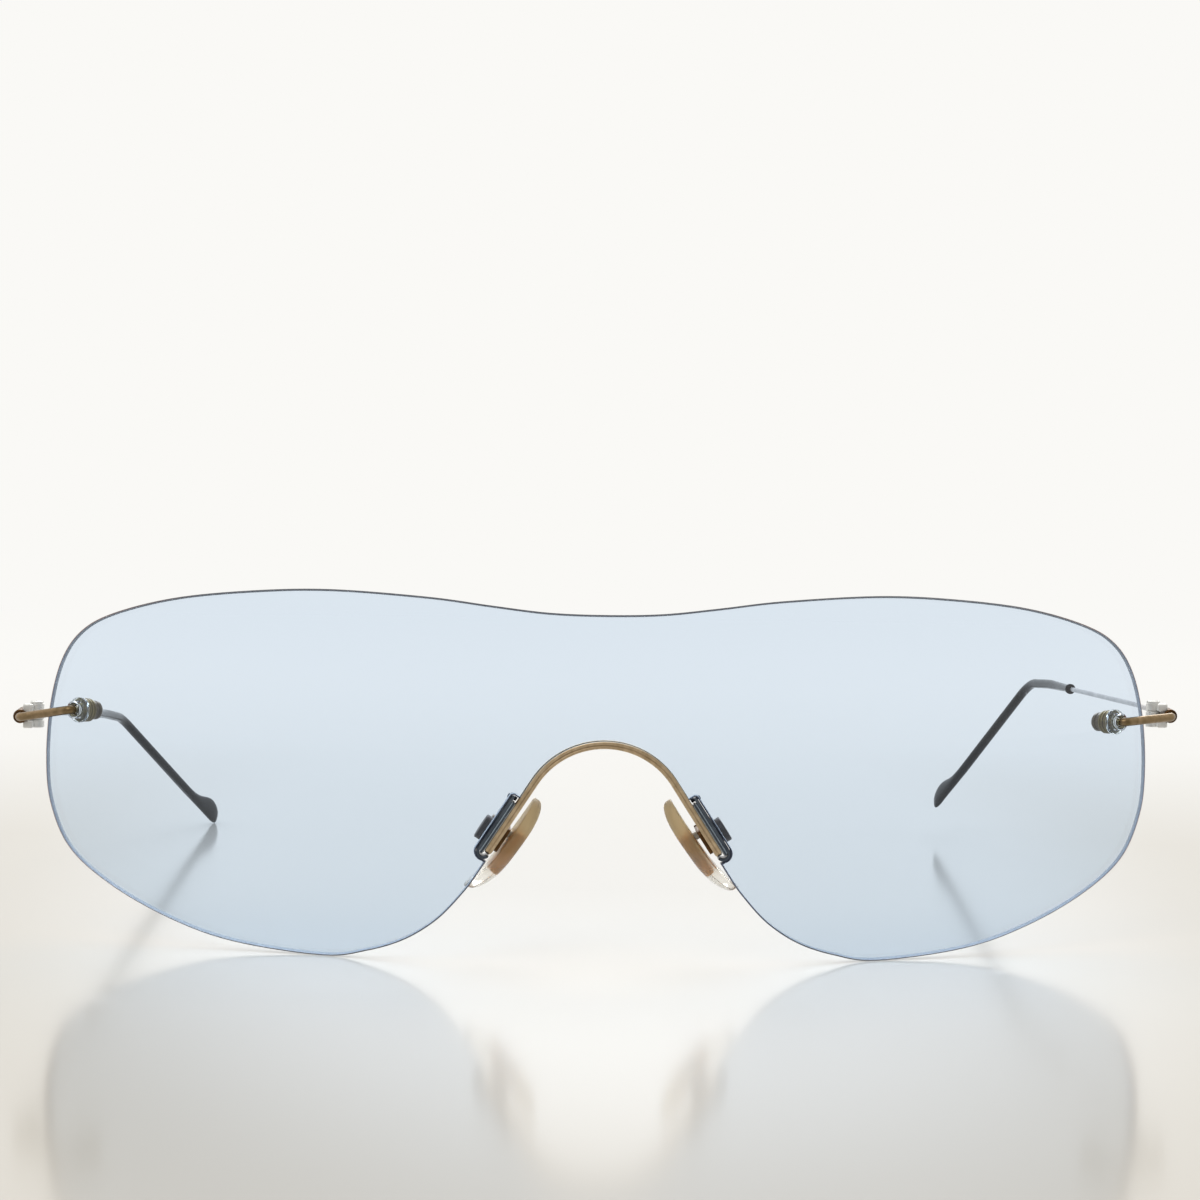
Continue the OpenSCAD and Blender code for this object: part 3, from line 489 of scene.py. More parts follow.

# %% [markdown]
# ## The lens
# The lens is moulded polycarbonate, dyed pale blue right through and polished.
# Polycarbonate bends light strongly, IOR 1.585, so the cut rim looks darker than
# the face. The blue is painted a little darker towards the bottom, as painted
# shade, and a coat on both faces halves their glare. Light that crosses the sheet
# is tinted once, and the lamps' shadow rays pass as through a gel, so that the
# table under it stays bright. In the table's mirror image the lens is drawn as a
# plain grey gel, painted shade that darkens that image. Cleaning leaves hair
# scratches about 0.05 mm wide; they are drawn 0.15 mm wide here and only change
# the gloss a little.

# %% Dyed polycarbonate
polycarbonate, tree, shader, mm = start_material("dyed_polycarbonate_polished", {
    "IOR": 1.585, "Transmission Weight": 1.0, "Roughness": 0.0, "Specular IOR Level": 0.15})
height = add(tree, "ShaderNodeSeparateXYZ", links={"Vector": mm})
# Painted shade: the blue tint darkens from the top down to the bottom.
upper = add(tree, "ShaderNodeMapRange", {"From Min": 0.0, "From Max": 34.0}, {"Value": height.outputs["Z"]})
tint_with_painted_low_shade = add(tree, "ShaderNodeMix", {"data_type": "RGBA", 6: linear("D8E6F4"), 7: linear("E6F2FF")},
          {0: upper.outputs[0]})
tree.links.new(tint_with_painted_low_shade.outputs[2], shader.inputs["Base Color"])
haze = add(tree, "ShaderNodeTexNoise", {"Scale": 0.09, "Detail": 3.0, "Roughness": 0.55}, {"Vector": mm})
hairs = add(tree, "ShaderNodeMapping", {"Rotation": (0.4, 0.2, 0.9), "Scale": (6.0, 0.35, 0.35)},
            {"Vector": mm})
hairs = add(tree, "ShaderNodeTexNoise", {"Scale": 1.1, "Detail": 2.0}, {"Vector": hairs.outputs[0]})
hairs = add(tree, "ShaderNodeMapRange", {"From Min": 0.68, "From Max": 0.8, "To Min": 0.0, "To Max": 0.05},
            {"Value": hairs.outputs["Fac"]})
film = add(tree, "ShaderNodeMapRange", {"From Min": 0.45, "From Max": 0.75, "To Min": 0.004, "To Max": 0.018},
           {"Value": haze.outputs["Fac"]})
gloss = add(tree, "ShaderNodeMath", {"operation": "ADD"}, {0: film.outputs[0], 1: hairs.outputs[0]})
tree.links.new(gloss.outputs[0], shader.inputs["Roughness"])
gel = add(tree, "ShaderNodeBsdfTransparent", {"Color": linear("DCE8F2")})
# Painted shade: glossy rays that see the lens in the table's mirror get a plain grey gel.
mirror_image_shade_gel = add(tree, "ShaderNodeBsdfTransparent", {"Color": linear("D9DFE6")})
light_path = add(tree, "ShaderNodeLightPath")
mix = add(tree, "ShaderNodeMixShader", links={
    0: light_path.outputs["Is Shadow Ray"], 1: shader.outputs[0], 2: gel.outputs[0]})
mirrored = add(tree, "ShaderNodeMath", {"operation": "SUBTRACT", "use_clamp": True},
               {0: light_path.outputs["Is Glossy Ray"], 1: light_path.outputs["Is Transmission Ray"]})
mix = add(tree, "ShaderNodeMixShader", links={
    0: mirrored.outputs[0], 1: mix.outputs[0], 2: mirror_image_shade_gel.outputs[0]})
tree.links.new(mix.outputs[0], tree.nodes["Material Output"].inputs["Surface"])
print("lens material:", polycarbonate.name)

# %% [markdown]
# The rim was cut with a router and only flattened with fine paper, so it stays
# finely frosted: grooves of about 0.02 mm, drawn 0.12 mm long here. Light that
# is caught in the sheet leaves there, and that light is painted into the rim's
# colour: painted dark along the front edge, turning to a lighter blue towards the
# back, and at the ends of the lens, where the sheet splits light into colours,
# its front edge is painted warm brown. Its distance from the ball's middle says
# how deep in the sheet a point lies. A mottle from the grit runs all round. The
# bottom is painted darker along its front edge as painted shade, and the top is
# painted darker as painted shade, as it gets the least light.

# %% Cut rim
cut_rim, tree, shader, mm = start_material("cut_polycarbonate_rim", {
    "IOR": 1.585, "Transmission Weight": 0.06, "Roughness": 0.42})
grit = add(tree, "ShaderNodeTexNoise", {"Scale": 4.0, "Detail": 4.0, "Roughness": 0.7}, {"Vector": mm})
reach = add(tree, "ShaderNodeVectorMath", {"operation": "DISTANCE", 1: (0, BALL_R + SHIFT_Y, BALL_Z)},
            {0: mm})
depth = add(tree, "ShaderNodeMapRange", {"From Min": BALL_R, "From Max": BALL_R - LENS_T},
            {"Value": reach.outputs["Value"]})
# Painted light: the light caught in the sheet, painted into the rim's colour.
tone = add(tree, "ShaderNodeValToRGB", {
    "stops": ((0.1, "565C70"), (0.32, "747E96"), (0.6, "A4B8D2"), (1.0, "EAF4FF"))},
    {"Fac": depth.outputs[0]})
out = add(tree, "ShaderNodeVectorMath", {"operation": "ABSOLUTE"}, {0: mm})
out = add(tree, "ShaderNodeSeparateXYZ", links={"Vector": out.outputs[0]})
end = add(tree, "ShaderNodeMapRange", {"From Min": 50.0, "From Max": 68.0, "To Max": 0.55},
          {"Value": out.outputs["X"]})
edge = add(tree, "ShaderNodeMapRange", {"From Min": 0.6, "From Max": 0.3}, {"Value": depth.outputs[0]})
warm = add(tree, "ShaderNodeMath", {"operation": "MULTIPLY"}, {0: end.outputs[0], 1: edge.outputs[0]})
tone = add(tree, "ShaderNodeMix", {"data_type": "RGBA", 7: linear("B26C38")},
           {0: warm.outputs[0], 6: tone.outputs[0]})
# Painted shade: the top of the rim is darker, as it gets the least light.
level = add(tree, "ShaderNodeMapRange", {"From Min": 44.0, "From Max": 34.0, "To Min": 0.45, "To Max": 1.0},
            {"Value": out.outputs["Z"]})
grit_and_painted_shade = add(tree, "ShaderNodeMath", {"operation": "MULTIPLY_ADD", 1: 0.7, 2: 0.65}, {0: grit.outputs["Fac"]})
grit_and_painted_shade = add(tree, "ShaderNodeMath", {"operation": "MULTIPLY"}, {0: grit_and_painted_shade.outputs[0], 1: level.outputs[0]})
# Painted shade along the front edge of the bottom.
low = add(tree, "ShaderNodeMapRange", {"From Min": 7.0, "From Max": 0.5, "To Max": 0.85},
          {"Value": out.outputs["Z"]})
front = add(tree, "ShaderNodeMapRange", {"From Min": 0.7, "From Max": 0.1}, {"Value": depth.outputs[0]})
low_front_painted_shade = add(tree, "ShaderNodeMath", {"operation": "MULTIPLY"}, {0: low.outputs[0], 1: front.outputs[0]})
low_front_painted_shade = add(tree, "ShaderNodeMath", {"operation": "SUBTRACT", 0: 1.0}, {1: low_front_painted_shade.outputs[0]})
grit_and_painted_shade = add(tree, "ShaderNodeMath", {"operation": "MULTIPLY"}, {0: grit_and_painted_shade.outputs[0], 1: low_front_painted_shade.outputs[0]})
tone = add(tree, "ShaderNodeMix", {"data_type": "RGBA", "blend_type": "MULTIPLY", 0: 1.0},
           {6: tone.outputs[2], 7: grit_and_painted_shade.outputs[0]})
tree.links.new(tone.outputs[2], shader.inputs["Base Color"])
bump = add(tree, "ShaderNodeBump", {"Strength": 0.5, "Distance": 0.03 * MM},
           {"Height": grit.outputs["Fac"]})
tree.links.new(bump.outputs[0], shader.inputs["Normal"])
print("rim material:", cut_rim.name)

# %% [markdown]
# The outline is symmetric. It dips in the middle of its top edge, is full at the
# sides and rises to the nose cut-out, whose sides are straight up to an arch.
# Beside each straight side there is a narrow notch for the band's hook, with a
# round at its foot and a small one at its top corner. Points along the outline
# come from a smooth curve through a few measured shares of the half width and
# the height.

# %% Lens outline
LENS_W, LENS_H = 142.0, 45.6
FOOT_SHARE = 0.248
HOOK_MID, BAND_FOOT, LEG_UP = HOOK_OUT / 2, -2.35, 5.4
NOTCH_R, NOTCH_UP, EDGE_IN = 0.3, LEG_UP + 3 * GAP, 0.6
SHARES = [(0, 0.947), (0.099, 0.951), (0.197, 0.967), (0.31, 0.987), (0.479, 1), (0.62, 0.989), (0.76, 0.96),
          (0.873, 0.91), (0.935, 0.855), (0.972, 0.772), (0.993, 0.647), (1, 0.496), (0.9915, 0.368),
          (0.955, 0.246), (0.879, 0.154), (0.768, 0.0735), (0.649, 0.022), (0.486, 0), (0.407, 0.0205),
          (0.342, 0.057), (0.286, 0.116), (0.241, 0.193)]


def smooth_curve(p, steps):
    """Points of a smooth curve through all but the first and last given ones."""
    out = []
    for i in range(1, len(p) - 2):
        a, b, c, d = (Vector(q) for q in p[i - 1:i + 3])
        for k in range(steps):
            u = k / steps
            out.append(0.5 * (2 * b + (c - a) * u + (2 * a - 5 * b + 4 * c - d) * u * u
                              + (3 * b - a - 3 * c + d) * u ** 3))
    return out


def on_clamp(n, s):
    """A point beside the straight side, n out into the lens and s up along it."""
    return Vector((CLAMP_X, CLAMP_Z)) + n * SIDE_N + s * SIDE_T


def arc(middle, radius, start, stop, steps, to=on_clamp):
    """Points of an arc in front view; its middle is given beside the straight side, or as to says."""
    turn = [math.radians(start + (stop - start) * k / steps) for k in range(steps + 1)]
    return [to(middle[0] + radius * math.cos(a), middle[1] + radius * math.sin(a)) for a in turn]


def flat(x, z):
    """A point given as it is in front view."""
    return Vector((x, z))


half = [Vector((a * LENS_W / 2, b * LENS_H)) for a, b in SHARES]
foot_z = FOOT_SHARE * LENS_H
foot = Vector((SIDE_AT.x + (SIDE_AT.y - foot_z) * math.tan(ARCH), foot_z))
half = smooth_curve([Vector((-half[1].x, half[1].y))] + half + [foot, foot + (SIDE_AT - foot) / 4], 8)
edge_out = half + [foot] + [on_clamp(0, BAND_FOOT - HOOK_MID)]
notch = arc((HOOK_MID, BAND_FOOT), HOOK_MID + GAP, 249.9, 360, 12) \
    + arc((HOOK_OUT + GAP - NOTCH_R, NOTCH_UP - NOTCH_R), NOTCH_R, 0, 90, 6)
bridge = [SIDE_AT + EDGE_IN * SIDE_N]
top_arch = arc((0, ARCH_Z), ARCH_R + EDGE_IN, ARCH_ANGLE, 90, 20, flat)[1:]
right_edge = edge_out + notch + [on_clamp(EDGE_IN, NOTCH_UP)] + bridge + top_arch
outline = right_edge + [Vector((-p.x, p.y)) for p in right_edge[-2:0:-1]]
print("outline points:", len(outline), "width", round(max(p.x for p in outline) * 2, 2), "mm")

# %% [markdown]
# The two faces of the lens are filled with fine triangles that stay inside the
# outline and clear of the side holes, and their shading normals are those of the
# true balls, so that reflections run smooth. The router stands nearly square to
# the sheet, so the back edge lies a little inside the front edge and the rim
# shows through the front face as a thin line. Only where the band's groove holds
# it is the rim cut straight back. A 0.18 mm chamfer joins the faces to the rim.

# %% Lens faces
LEAN_SHARE, CHAMFER = 0.8, 0.18
HELD_BELOW, HELD_WITHIN, HELD_FADE = 30, 14, 10
GRID_X, GRID_Z, GRID_CLEAR = 1.7, 1.48, 0.75


def cut_square(p, behind):
    """Where the rim lies behind a point of the front outline; 1 of lean is square to the sheet."""
    held = 0 if p.y > HELD_BELOW else 1 - min(1, max(0, (abs(p.x) - HELD_WITHIN) / HELD_FADE))
    return p + (Vector((0, BALL_Z)) - p) * LEAN_SHARE * (1 - held) * behind / BALL_R


def inset(loop, gap):
    """Moves a closed loop of points inwards; it runs clockwise seen from the front."""
    out = []
    for i, p in enumerate(loop):
        a, b = (p - loop[i - 1]), (loop[(i + 1) % len(loop)] - p)
        a, b = a.normalized(), b.normalized()
        n = Vector((a.y + b.y, -a.x - b.x))
        n = n.normalized() / max(0.6, math.cos(a.angle(b, 0) / 2))
        out.append(p + n * gap)
    return out


def hole_loop(radius, behind, side, steps=40):
    """The side hole's edge on a ball that far behind the front, in front view."""
    out = []
    for k in range(steps):
        a = 2 * math.pi * k / steps
        lift = math.sqrt((BALL_R - behind) ** 2 - radius ** 2) - BALL_R
        p = HOLE @ Vector((radius * math.cos(a), radius * math.sin(a), lift))
        out.append(Vector((side * p.x, p.z)))
    return out


def inside(p, loop):
    """Whether a point lies within a closed loop."""
    hit = False
    for a, b in zip(loop, loop[1:] + loop[:1]):
        if (a.y > p.y) != (b.y > p.y) and p.x < (b.x - a.x) * (p.y - a.y) / (b.y - a.y) + a.x:
            hit = not hit
    return hit


def filled(loops):
    """Fine triangles inside the first loop and outside the others."""
    points = [p for loop in loops for p in loop]
    edges, start = [], 0
    for loop in loops:
        edges += [(start + k, start + (k + 1) % len(loop)) for k in range(len(loop))]
        start += len(loop)
    on_edges = list(points)
    last_col = int(LENS_W / 2 / GRID_X) + 1
    for row in range(1, int(LENS_H / GRID_Z) + 2):
        for col in range(-last_col, last_col + 1):
            q = Vector((GRID_X * (col + 0.5 * (row % 2)), GRID_Z * row))
            if inside(q, loops[0]) and all((q - p).length > GRID_CLEAR for p in on_edges):
                if not any(inside(q, loop) for loop in loops[1:]):
                    points.append(q)
    made = geometry.delaunay_2d_cdt(points, edges, [], 0, 1e-7)
    triangles = []
    for tri in made[2]:
        middle = sum((made[0][i] for i in tri), Vector((0, 0))) / 3
        if inside(middle, loops[0]) and not any(inside(middle, loop) for loop in loops[1:]):
            triangles.append(tri)
    return [Vector(p) for p in made[0]], triangles, [o[0] if o else -1 for o in made[3]]


def lens_parts():
    """Points, faces, finish and kind (front -1, rim 0, back 1) of the whole lens."""
    points, faces, finish, kinds = [], [], [], []
    rims = {}
    for face_at, flip in ((0.0, False), (LENS_T, True)):
        holes = [hole_loop(HOLE_R + CHAMFER, face_at, s) for s in (1, -1)]
        loops = [inset([cut_square(p, face_at) for p in outline], CHAMFER)] + holes
        flat_points, triangles, origin = filled(loops)
        start = len(points)
        points += [Vector((p.x, lens_y(p.x, p.y, face_at), p.y)) for p in flat_points]
        where = {o: start + i for i, o in enumerate(origin) if o >= 0}
        for tri in triangles:
            a, b, c = (flat_points[i] for i in tri)
            turn = (b - a).cross(c - a)
            tri = tri if (turn > 0) != flip else tri[::-1]
            faces.append([start + i for i in tri])
            kinds.append(1 if flip else -1)
            finish.append(0)
        begin = 0
        for number, loop in enumerate(loops):
            rims[flip, number] = [where[begin + k] for k in range(len(loop))]
            begin += len(loop)
    for number in range(3):
        rows = [rims[False, number]]
        for behind in (CHAMFER, LENS_T - CHAMFER):
            loop = [cut_square(p, behind) for p in outline]
            if number:
                loop = hole_loop(HOLE_R, behind, (1, -1)[number - 1])
            rows.append(list(range(len(points), len(points) + len(loop))))
            points += [Vector((p.x, lens_y(p.x, p.y, behind), p.y)) for p in loop]
        rows.append(rims[True, number])
        for a, b in zip(rows, rows[1:]):
            for k in range(len(a)):
                n = (k + 1) % len(a)
                faces.append([a[k], b[k], b[n], a[n]] if number != 2 else [a[k], a[n], b[n], b[k]])
                kinds.append(0)
                finish.append(1 if number == 0 else 0)
    return points, faces, finish, kinds


lens_points, lens_faces, lens_finish, lens_kinds = lens_parts()
lens = make_piece("shield_lens_sheet", [(lens_points, lens_faces, 0)], [polycarbonate, cut_rim],
                  "front", ["shield_lens"])
lens.data.polygons.foreach_set("material_index", lens_finish)
middle = placed((0, BALL_R, BALL_Z))
normals = []
for polygon, kind in zip(lens.data.polygons, lens_kinds):
    for corner in polygon.loop_indices:
        if kind:
            v = lens.data.vertices[lens.data.loops[corner].vertex_index].co
            normals.append((v - middle).normalized() * -kind)
        else:
            normals.append(lens.data.corner_normals[corner].vector.copy())
lens.data.normals_split_custom_set(normals)
print("lens triangles and rim faces:", len(lens_faces))

# %% [markdown]
# ## The metals
# All the metal parts are nickel-alloy wire or strip, about as hard as spring
# steel, and each is plated. Plating is thin, so drawing lines from the die stay
# visible under it, and it wears through to paler metal on proud edges. Drawing
# lines are about 0.02 mm apart; they are drawn 0.15 mm apart here, stretched
# along the depth of the glasses. The plate darkens where skin and air reach it.
# Every groove and inner corner is darkened, partly by grime and partly by painted
# shade. The hinge's knuckles and screws are silver, made only partly metallic
# and nearly white, which paints in the glare of the bright backdrop.

# %% Plated metal


def plated(name, plate_hex, dark_hex, worn_hex, roughness, grain=(1.0, 0.12, 1.0), wear=0.5, metallic=1.0):
    """Satin plating with drawing lines, blotches of tarnish, grime and painted shade in grooves and paler
    worn edges.
    """
    material, tree, shader, mm = start_material(name, {"Metallic": metallic})
    blotch = add(tree, "ShaderNodeTexNoise", {"Scale": 0.9, "Detail": 4.0, "Roughness": 0.6}, {"Vector": mm})
    spread = add(tree, "ShaderNodeMapRange", {"From Min": 0.35, "From Max": 0.68},
                 {"Value": blotch.outputs["Fac"]})
    tone = add(tree, "ShaderNodeMix", {"data_type": "RGBA", 6: linear(dark_hex), 7: linear(plate_hex)},
               {0: spread.outputs[0]})
    lines = add(tree, "ShaderNodeMapping", {"Scale": grain}, {"Vector": mm})
    lines = add(tree, "ShaderNodeTexNoise", {"Scale": 6.5, "Detail": 3.0, "Roughness": 0.65},
                {"Vector": lines.outputs[0]})
    point = add(tree, "ShaderNodeNewGeometry").outputs["Pointiness"]
    edge = add(tree, "ShaderNodeMapRange", {"From Min": 0.53, "From Max": 0.6, "To Max": wear},
               {"Value": point})
    worn = add(tree, "ShaderNodeMath", {"operation": "MULTIPLY", "use_clamp": True},
               {0: edge.outputs[0], 1: lines.outputs["Fac"]})
    # Grooves and inner corners: grime and painted shade, darkened towards 2E2620.
    grime_and_painted_shade = add(tree, "ShaderNodeMapRange", {"From Min": 0.45, "From Max": 0.36, "To Max": 0.6},
                 {"Value": point})
    tone = add(tree, "ShaderNodeMix", {"data_type": "RGBA", 7: linear("2E2620")},
               {0: grime_and_painted_shade.outputs[0], 6: tone.outputs[2]})
    colour = add(tree, "ShaderNodeMix", {"data_type": "RGBA", 7: linear(worn_hex)},
                 {0: worn.outputs[0], 6: tone.outputs[2]})
    rough = add(tree, "ShaderNodeMapRange", {"To Min": roughness - 0.07, "To Max": roughness + 0.09},
                {"Value": lines.outputs["Fac"]})
    bump = add(tree, "ShaderNodeBump", {"Strength": 0.35, "Distance": 0.02 * MM},
               {"Height": lines.outputs["Fac"]})
    tree.links.new(colour.outputs[2], shader.inputs["Base Color"])
    tree.links.new(rough.outputs[0], shader.inputs["Roughness"])
    tree.links.new(bump.outputs[0], shader.inputs["Normal"])
    return material


ROUND_LINES, TURNED_LINES = (2.2, 0.15, 2.2), (0.15, 0.15, 2.2)
bronze_plate = plated("satin_bronze_plated_strip", "EAD0AA", "C4A983", "F2E2C8", 0.34)
wire_plate = plated("brown_bronze_plated_wire", "A28969", "7E6A4A", "D0BF9F", 0.3)
gunmetal_plate = plated("gunmetal_plated_spring_strip", "5E6670", "464D57", "A4AEB8", 0.3)
brown_plate = plated("brown_bronze_plated_plate", "6A4A2A", "48331D", "8F7350", 0.36)
olive_plate = plated("olive_nickel_plated_turned_nut", "857648", "5C4E32", "A09670", 0.34, TURNED_LINES)
dark_nickel = plated("black_nickel_plated_turned_cap", "645642", "443A2B", "8D8F94", 0.28, TURNED_LINES)
copper_plate = plated("copper_brown_stamped_core", "E0A366", "B07F4C", "F0CB9C", 0.38)
# Painted glare: silver made nearly white and only 0.4 metallic, standing in for the glare of the bright
# backdrop.
silver_painted_glare = plated("silver_fittings_painted_glare", "F4F4F1", "E2E2DE", "FAFAF8", 0.42, ROUND_LINES,
                        0.3, 0.4)
spring_wire = plated("nickel_plated_spring_wire", "C2C2C4", "98999E", "E2E2E2", 0.16, ROUND_LINES, 0.3)
screw_black = plated("blackened_steel_screw", "524A4A", "3B3637", "7A7472", 0.38, (2.0, 0.3, 2.0))
print("materials so far:", len(bpy.data.materials))

# %% [markdown]
# ## The bridge band
# The band is a shallow channel: a strip 0.9 mm thick that lines the cut-out and
# holds the lens's edge in a 0.33 mm groove. Its front edge has a score line, 0.15
# mm wide and deep, between two faces. A section swept along the cut-out gives all
# of that in one piece, and both ends are rounded over inside their hooks. The
# section's points are (out from the cut-out, behind the lens's front).

# %% Bridge band
BAND_SECTION = [(0.0, -0.02), (0.02, -0.14), (0.08, -0.22), (0.15, -0.25), (0.3, -0.25), (0.36, -0.2),
                (0.38, 0.05), (0.51, 0.05), (0.53, -0.18), (0.6, -0.21), (0.79, -0.21), (0.86, -0.18),
                (0.9, -0.1), (0.9, -0.03), (0.57, -0.03), (0.57, 1.83), (0.9, 1.83), (0.9, 2.38), (0.87, 2.5),
                (0.8, 2.55), (0.12, 2.55), (0.03, 2.5), (0.0, 2.38)]
BAND_ENDS = ((0.0, 0.5), (0.06, 0.68), (0.16, 0.83), (0.3, 0.94), (0.48, 1.0))
right_line = [on_clamp(0, s) for s in (BAND_FOOT, -1.2, 0, 4, 6.5)]
arch_line = arc((0, ARCH_Z), ARCH_R, ARCH_ANGLE, 180 - ARCH_ANGLE, 48, flat)
left_line = [Vector((-p.x, p.y)) for p in right_line[::-1]]
TAB_FRONT = lens_y(HEAD_AT.x, HEAD_AT.y, 2.2)
TAB_HALF, TAB_APART = 1.65, 0.02


def tab(low_n, high_n):
    """The ear of a strip behind the lens, which the clamp screw goes through."""
    low = (low_n + TAB_APART, TAB_FRONT, -TAB_HALF)
    return at(CLAMP, block(low, (high_n - TAB_APART, TAB_BACK, TAB_HALF), 0.1))


def flipped(part):
    """The same part on the other side of the nose."""
    points, faces = part
    return [Vector((-p[0], p[1], p[2])) for p in points], [f[::-1] for f in faces]


line = right_line + arch_line + left_line
outward = [(-a, b) for a, b in BAND_SECTION][::-1]
ear = tab(0, BAND_T)
make_piece("bridge_band_channel", [(*strip(line, outward, BAND_ENDS), 0), (*ear, 0), (*flipped(ear), 0)],
           [bronze_plate], "front", ["bridge_band"])
print("band line points:", len(line))

# %% [markdown]
# ## Hook and clear key
# At each foot the band is held by a thin spring hook that curls round it and
# comes back up inside the lens's notch. A small cross bar at its top, behind the
# lens, keeps the clear moulded key down that fills the space between hook and
# band. Between two metal walls the clear plastic mirrors mostly shadow, and that
# is painted into its colour: painted shade makes it navy, and across its width it
# goes from a painted pale line beside the band to a dark core and a painted
# highlight beside the hook. The bushings of the side holes are the same plastic,
# unstained.

# %% Clear moulded plastic
clear_plastic, tree, shader, mm = start_material("clear_moulded_acetate", {
    "Base Color": linear("F4F6F2"), "IOR": 1.49, "Transmission Weight": 1.0, "Roughness": 0.05})
flow = add(tree, "ShaderNodeTexNoise", {"Scale": 0.8, "Detail": 2.0}, {"Vector": mm})
flow = add(tree, "ShaderNodeMapRange", {"To Min": 0.01, "To Max": 0.09}, {"Value": flow.outputs["Fac"]})
tree.links.new(flow.outputs[0], shader.inputs["Roughness"])

# %% Clear plastic between two metal walls
key_plastic_painted_shade, tree, shader, mm = start_material("clear_acetate_painted_shade_between_metal", {
    "IOR": 1.49, "Transmission Weight": 0.08, "Roughness": 0.14})
flow = add(tree, "ShaderNodeTexNoise", {"Scale": 1.4, "Detail": 3.0}, {"Vector": mm})
out = add(tree, "ShaderNodeVectorMath", {"operation": "ABSOLUTE"}, {0: mm})
out = add(tree, "ShaderNodeVectorMath", {"operation": "DOT_PRODUCT", 1: (SIDE_N.x, 0, SIDE_N.y)},
          {0: out.outputs[0]})
from_side = Vector((CLAMP_X, CLAMP_Z)).dot(SIDE_N)
out = add(tree, "ShaderNodeMapRange", {"From Min": from_side + BAND_T, "From Max": from_side + KEY_OUT},
          {"Value": out.outputs["Value"]})
# Painted shade and highlights: pale line beside the band, dark core, bright line beside the hook.
across = add(tree, "ShaderNodeValToRGB", {
    "stops": ((0.0, "9A9C9C"), (0.14, "C0C4C4"), (0.34, "3C4650"), (0.66, "404D5B"), (0.86, "D0E0EC"),
              (1.0, "66768A"))}, {"Fac": out.outputs[0]})
core = add(tree, "ShaderNodeMix", {"data_type": "RGBA", "blend_type": "MULTIPLY", 0: 0.6},
           {6: across.outputs[0], 7: flow.outputs["Fac"]})
tree.links.new(core.outputs[2], shader.inputs["Base Color"])
print("plastics:", clear_plastic.name, key_plastic_painted_shade.name)

# %% Hooks and keys
HOOK_SECTION = [(0.19, -0.1), (0.16, -0.2), (0.07, -0.25), (-0.07, -0.25), (-0.16, -0.2), (-0.19, -0.1),
                (-0.2, 0.2), (-0.2, 2.2), (-0.19, 2.42), (-0.14, 2.52), (-0.06, 2.55), (0.06, 2.55),
                (0.14, 2.52), (0.19, 2.42), (0.2, 2.2), (0.2, 0.2)]
HOOK_RUN = HOOK_OUT - HOOK_T / 2
hook_line = arc((HOOK_MID, BAND_FOOT), HOOK_MID - HOOK_T / 2, 194, 360, 24) \
    + [on_clamp(HOOK_RUN, s) for s in (-1.0, 1.0, 3.0, LEG_UP)]
KEY_R, KEY_UP = KEY_T / 2, 4.8
key_foot = [(BAND_T, -2.3), (0.98, -2.6), (1.2, -2.7), (1.36, -2.55), (KEY_OUT, -2.3)]
key_line = [on_clamp(n, s) for n, s in key_foot] + arc((BAND_T + KEY_R, KEY_UP - KEY_R), KEY_R, 0, 180, 10)


def through_lens(line, front, back, edge):
    """A plate with a flat outline in front view that follows the lens's curve."""
    rows = [(inset(line[::-1], edge), front), (line[::-1], front + edge), (line[::-1], back - edge),
            (inset(line[::-1], edge), back)]
    points = [(p.x, lens_y(p.x, p.y, depth), p.y) for row, depth in rows for p in row]
    n = len(line)
    faces = [(i * n + k, (i + 1) * n + k, (i + 1) * n + (k + 1) % n, i * n + (k + 1) % n)
             for i in range(3) for k in range(n)]
    return points, faces + [tuple(range(n)), tuple(range(3 * n, 4 * n))[::-1]]


BAND_BACK = 2.55
spur_at = on_clamp(HOOK_OUT, LEG_UP)
spur_y = lens_y(spur_at.x, spur_at.y, LENS_T) + 0.2
for s in (LEFT, RIGHT):
    hook = strip(hook_line, HOOK_SECTION)
    spur = at(CLAMP, block((1.0, spur_y, 4.86), (2.2, spur_y + 0.4, 5.38), 0.1))
    make_piece(s["name"] + "_band_hook_strip", [(*hook, 0), (*tab(KEY_OUT, HOOK_OUT), 0), (*spur, 0)],
               [gunmetal_plate], "front", [s["name"] + "_band_hook"], s["x"])
    key = through_lens(key_line, -BAND_PROUD, BAND_BACK, 0.1)
    make_piece(s["name"] + "_clamp_key_plate", [(*key, 0), (*tab(BAND_T, KEY_OUT), 0)],
               [key_plastic_painted_shade], "front", [s["name"] + "_clamp_key"], s["x"])
print("hook line points:", len(hook_line))

# %% [markdown]
# ## Clamp screws, pad arms and pad screws
# A slotted screw with a flat round head squeezes hook, key, band and arm
# together. The arm is a stamped plate bent into a small open box, and the pad's
# lug turns in that box on a second, smaller screw. The slots are sawn out of
# turned blanks.

# %% Clamp screws


def turned_screw(head_r, head_h, shank_r, shank_l, dome):
    """A screw blank along Z: the shank goes down from nought, the head up."""
    head = [(shank_r, 0), (head_r, 0), (head_r, head_h - dome), (head_r - dome * 1.2, head_h - dome * 0.2)]
    return lathe([(0, -shank_l), (shank_r - 0.1, -shank_l), (shank_r, -shank_l + 0.1)]
                 + rounded(head, 0.15) + [(head_r * 0.45, head_h), (0, head_h)])


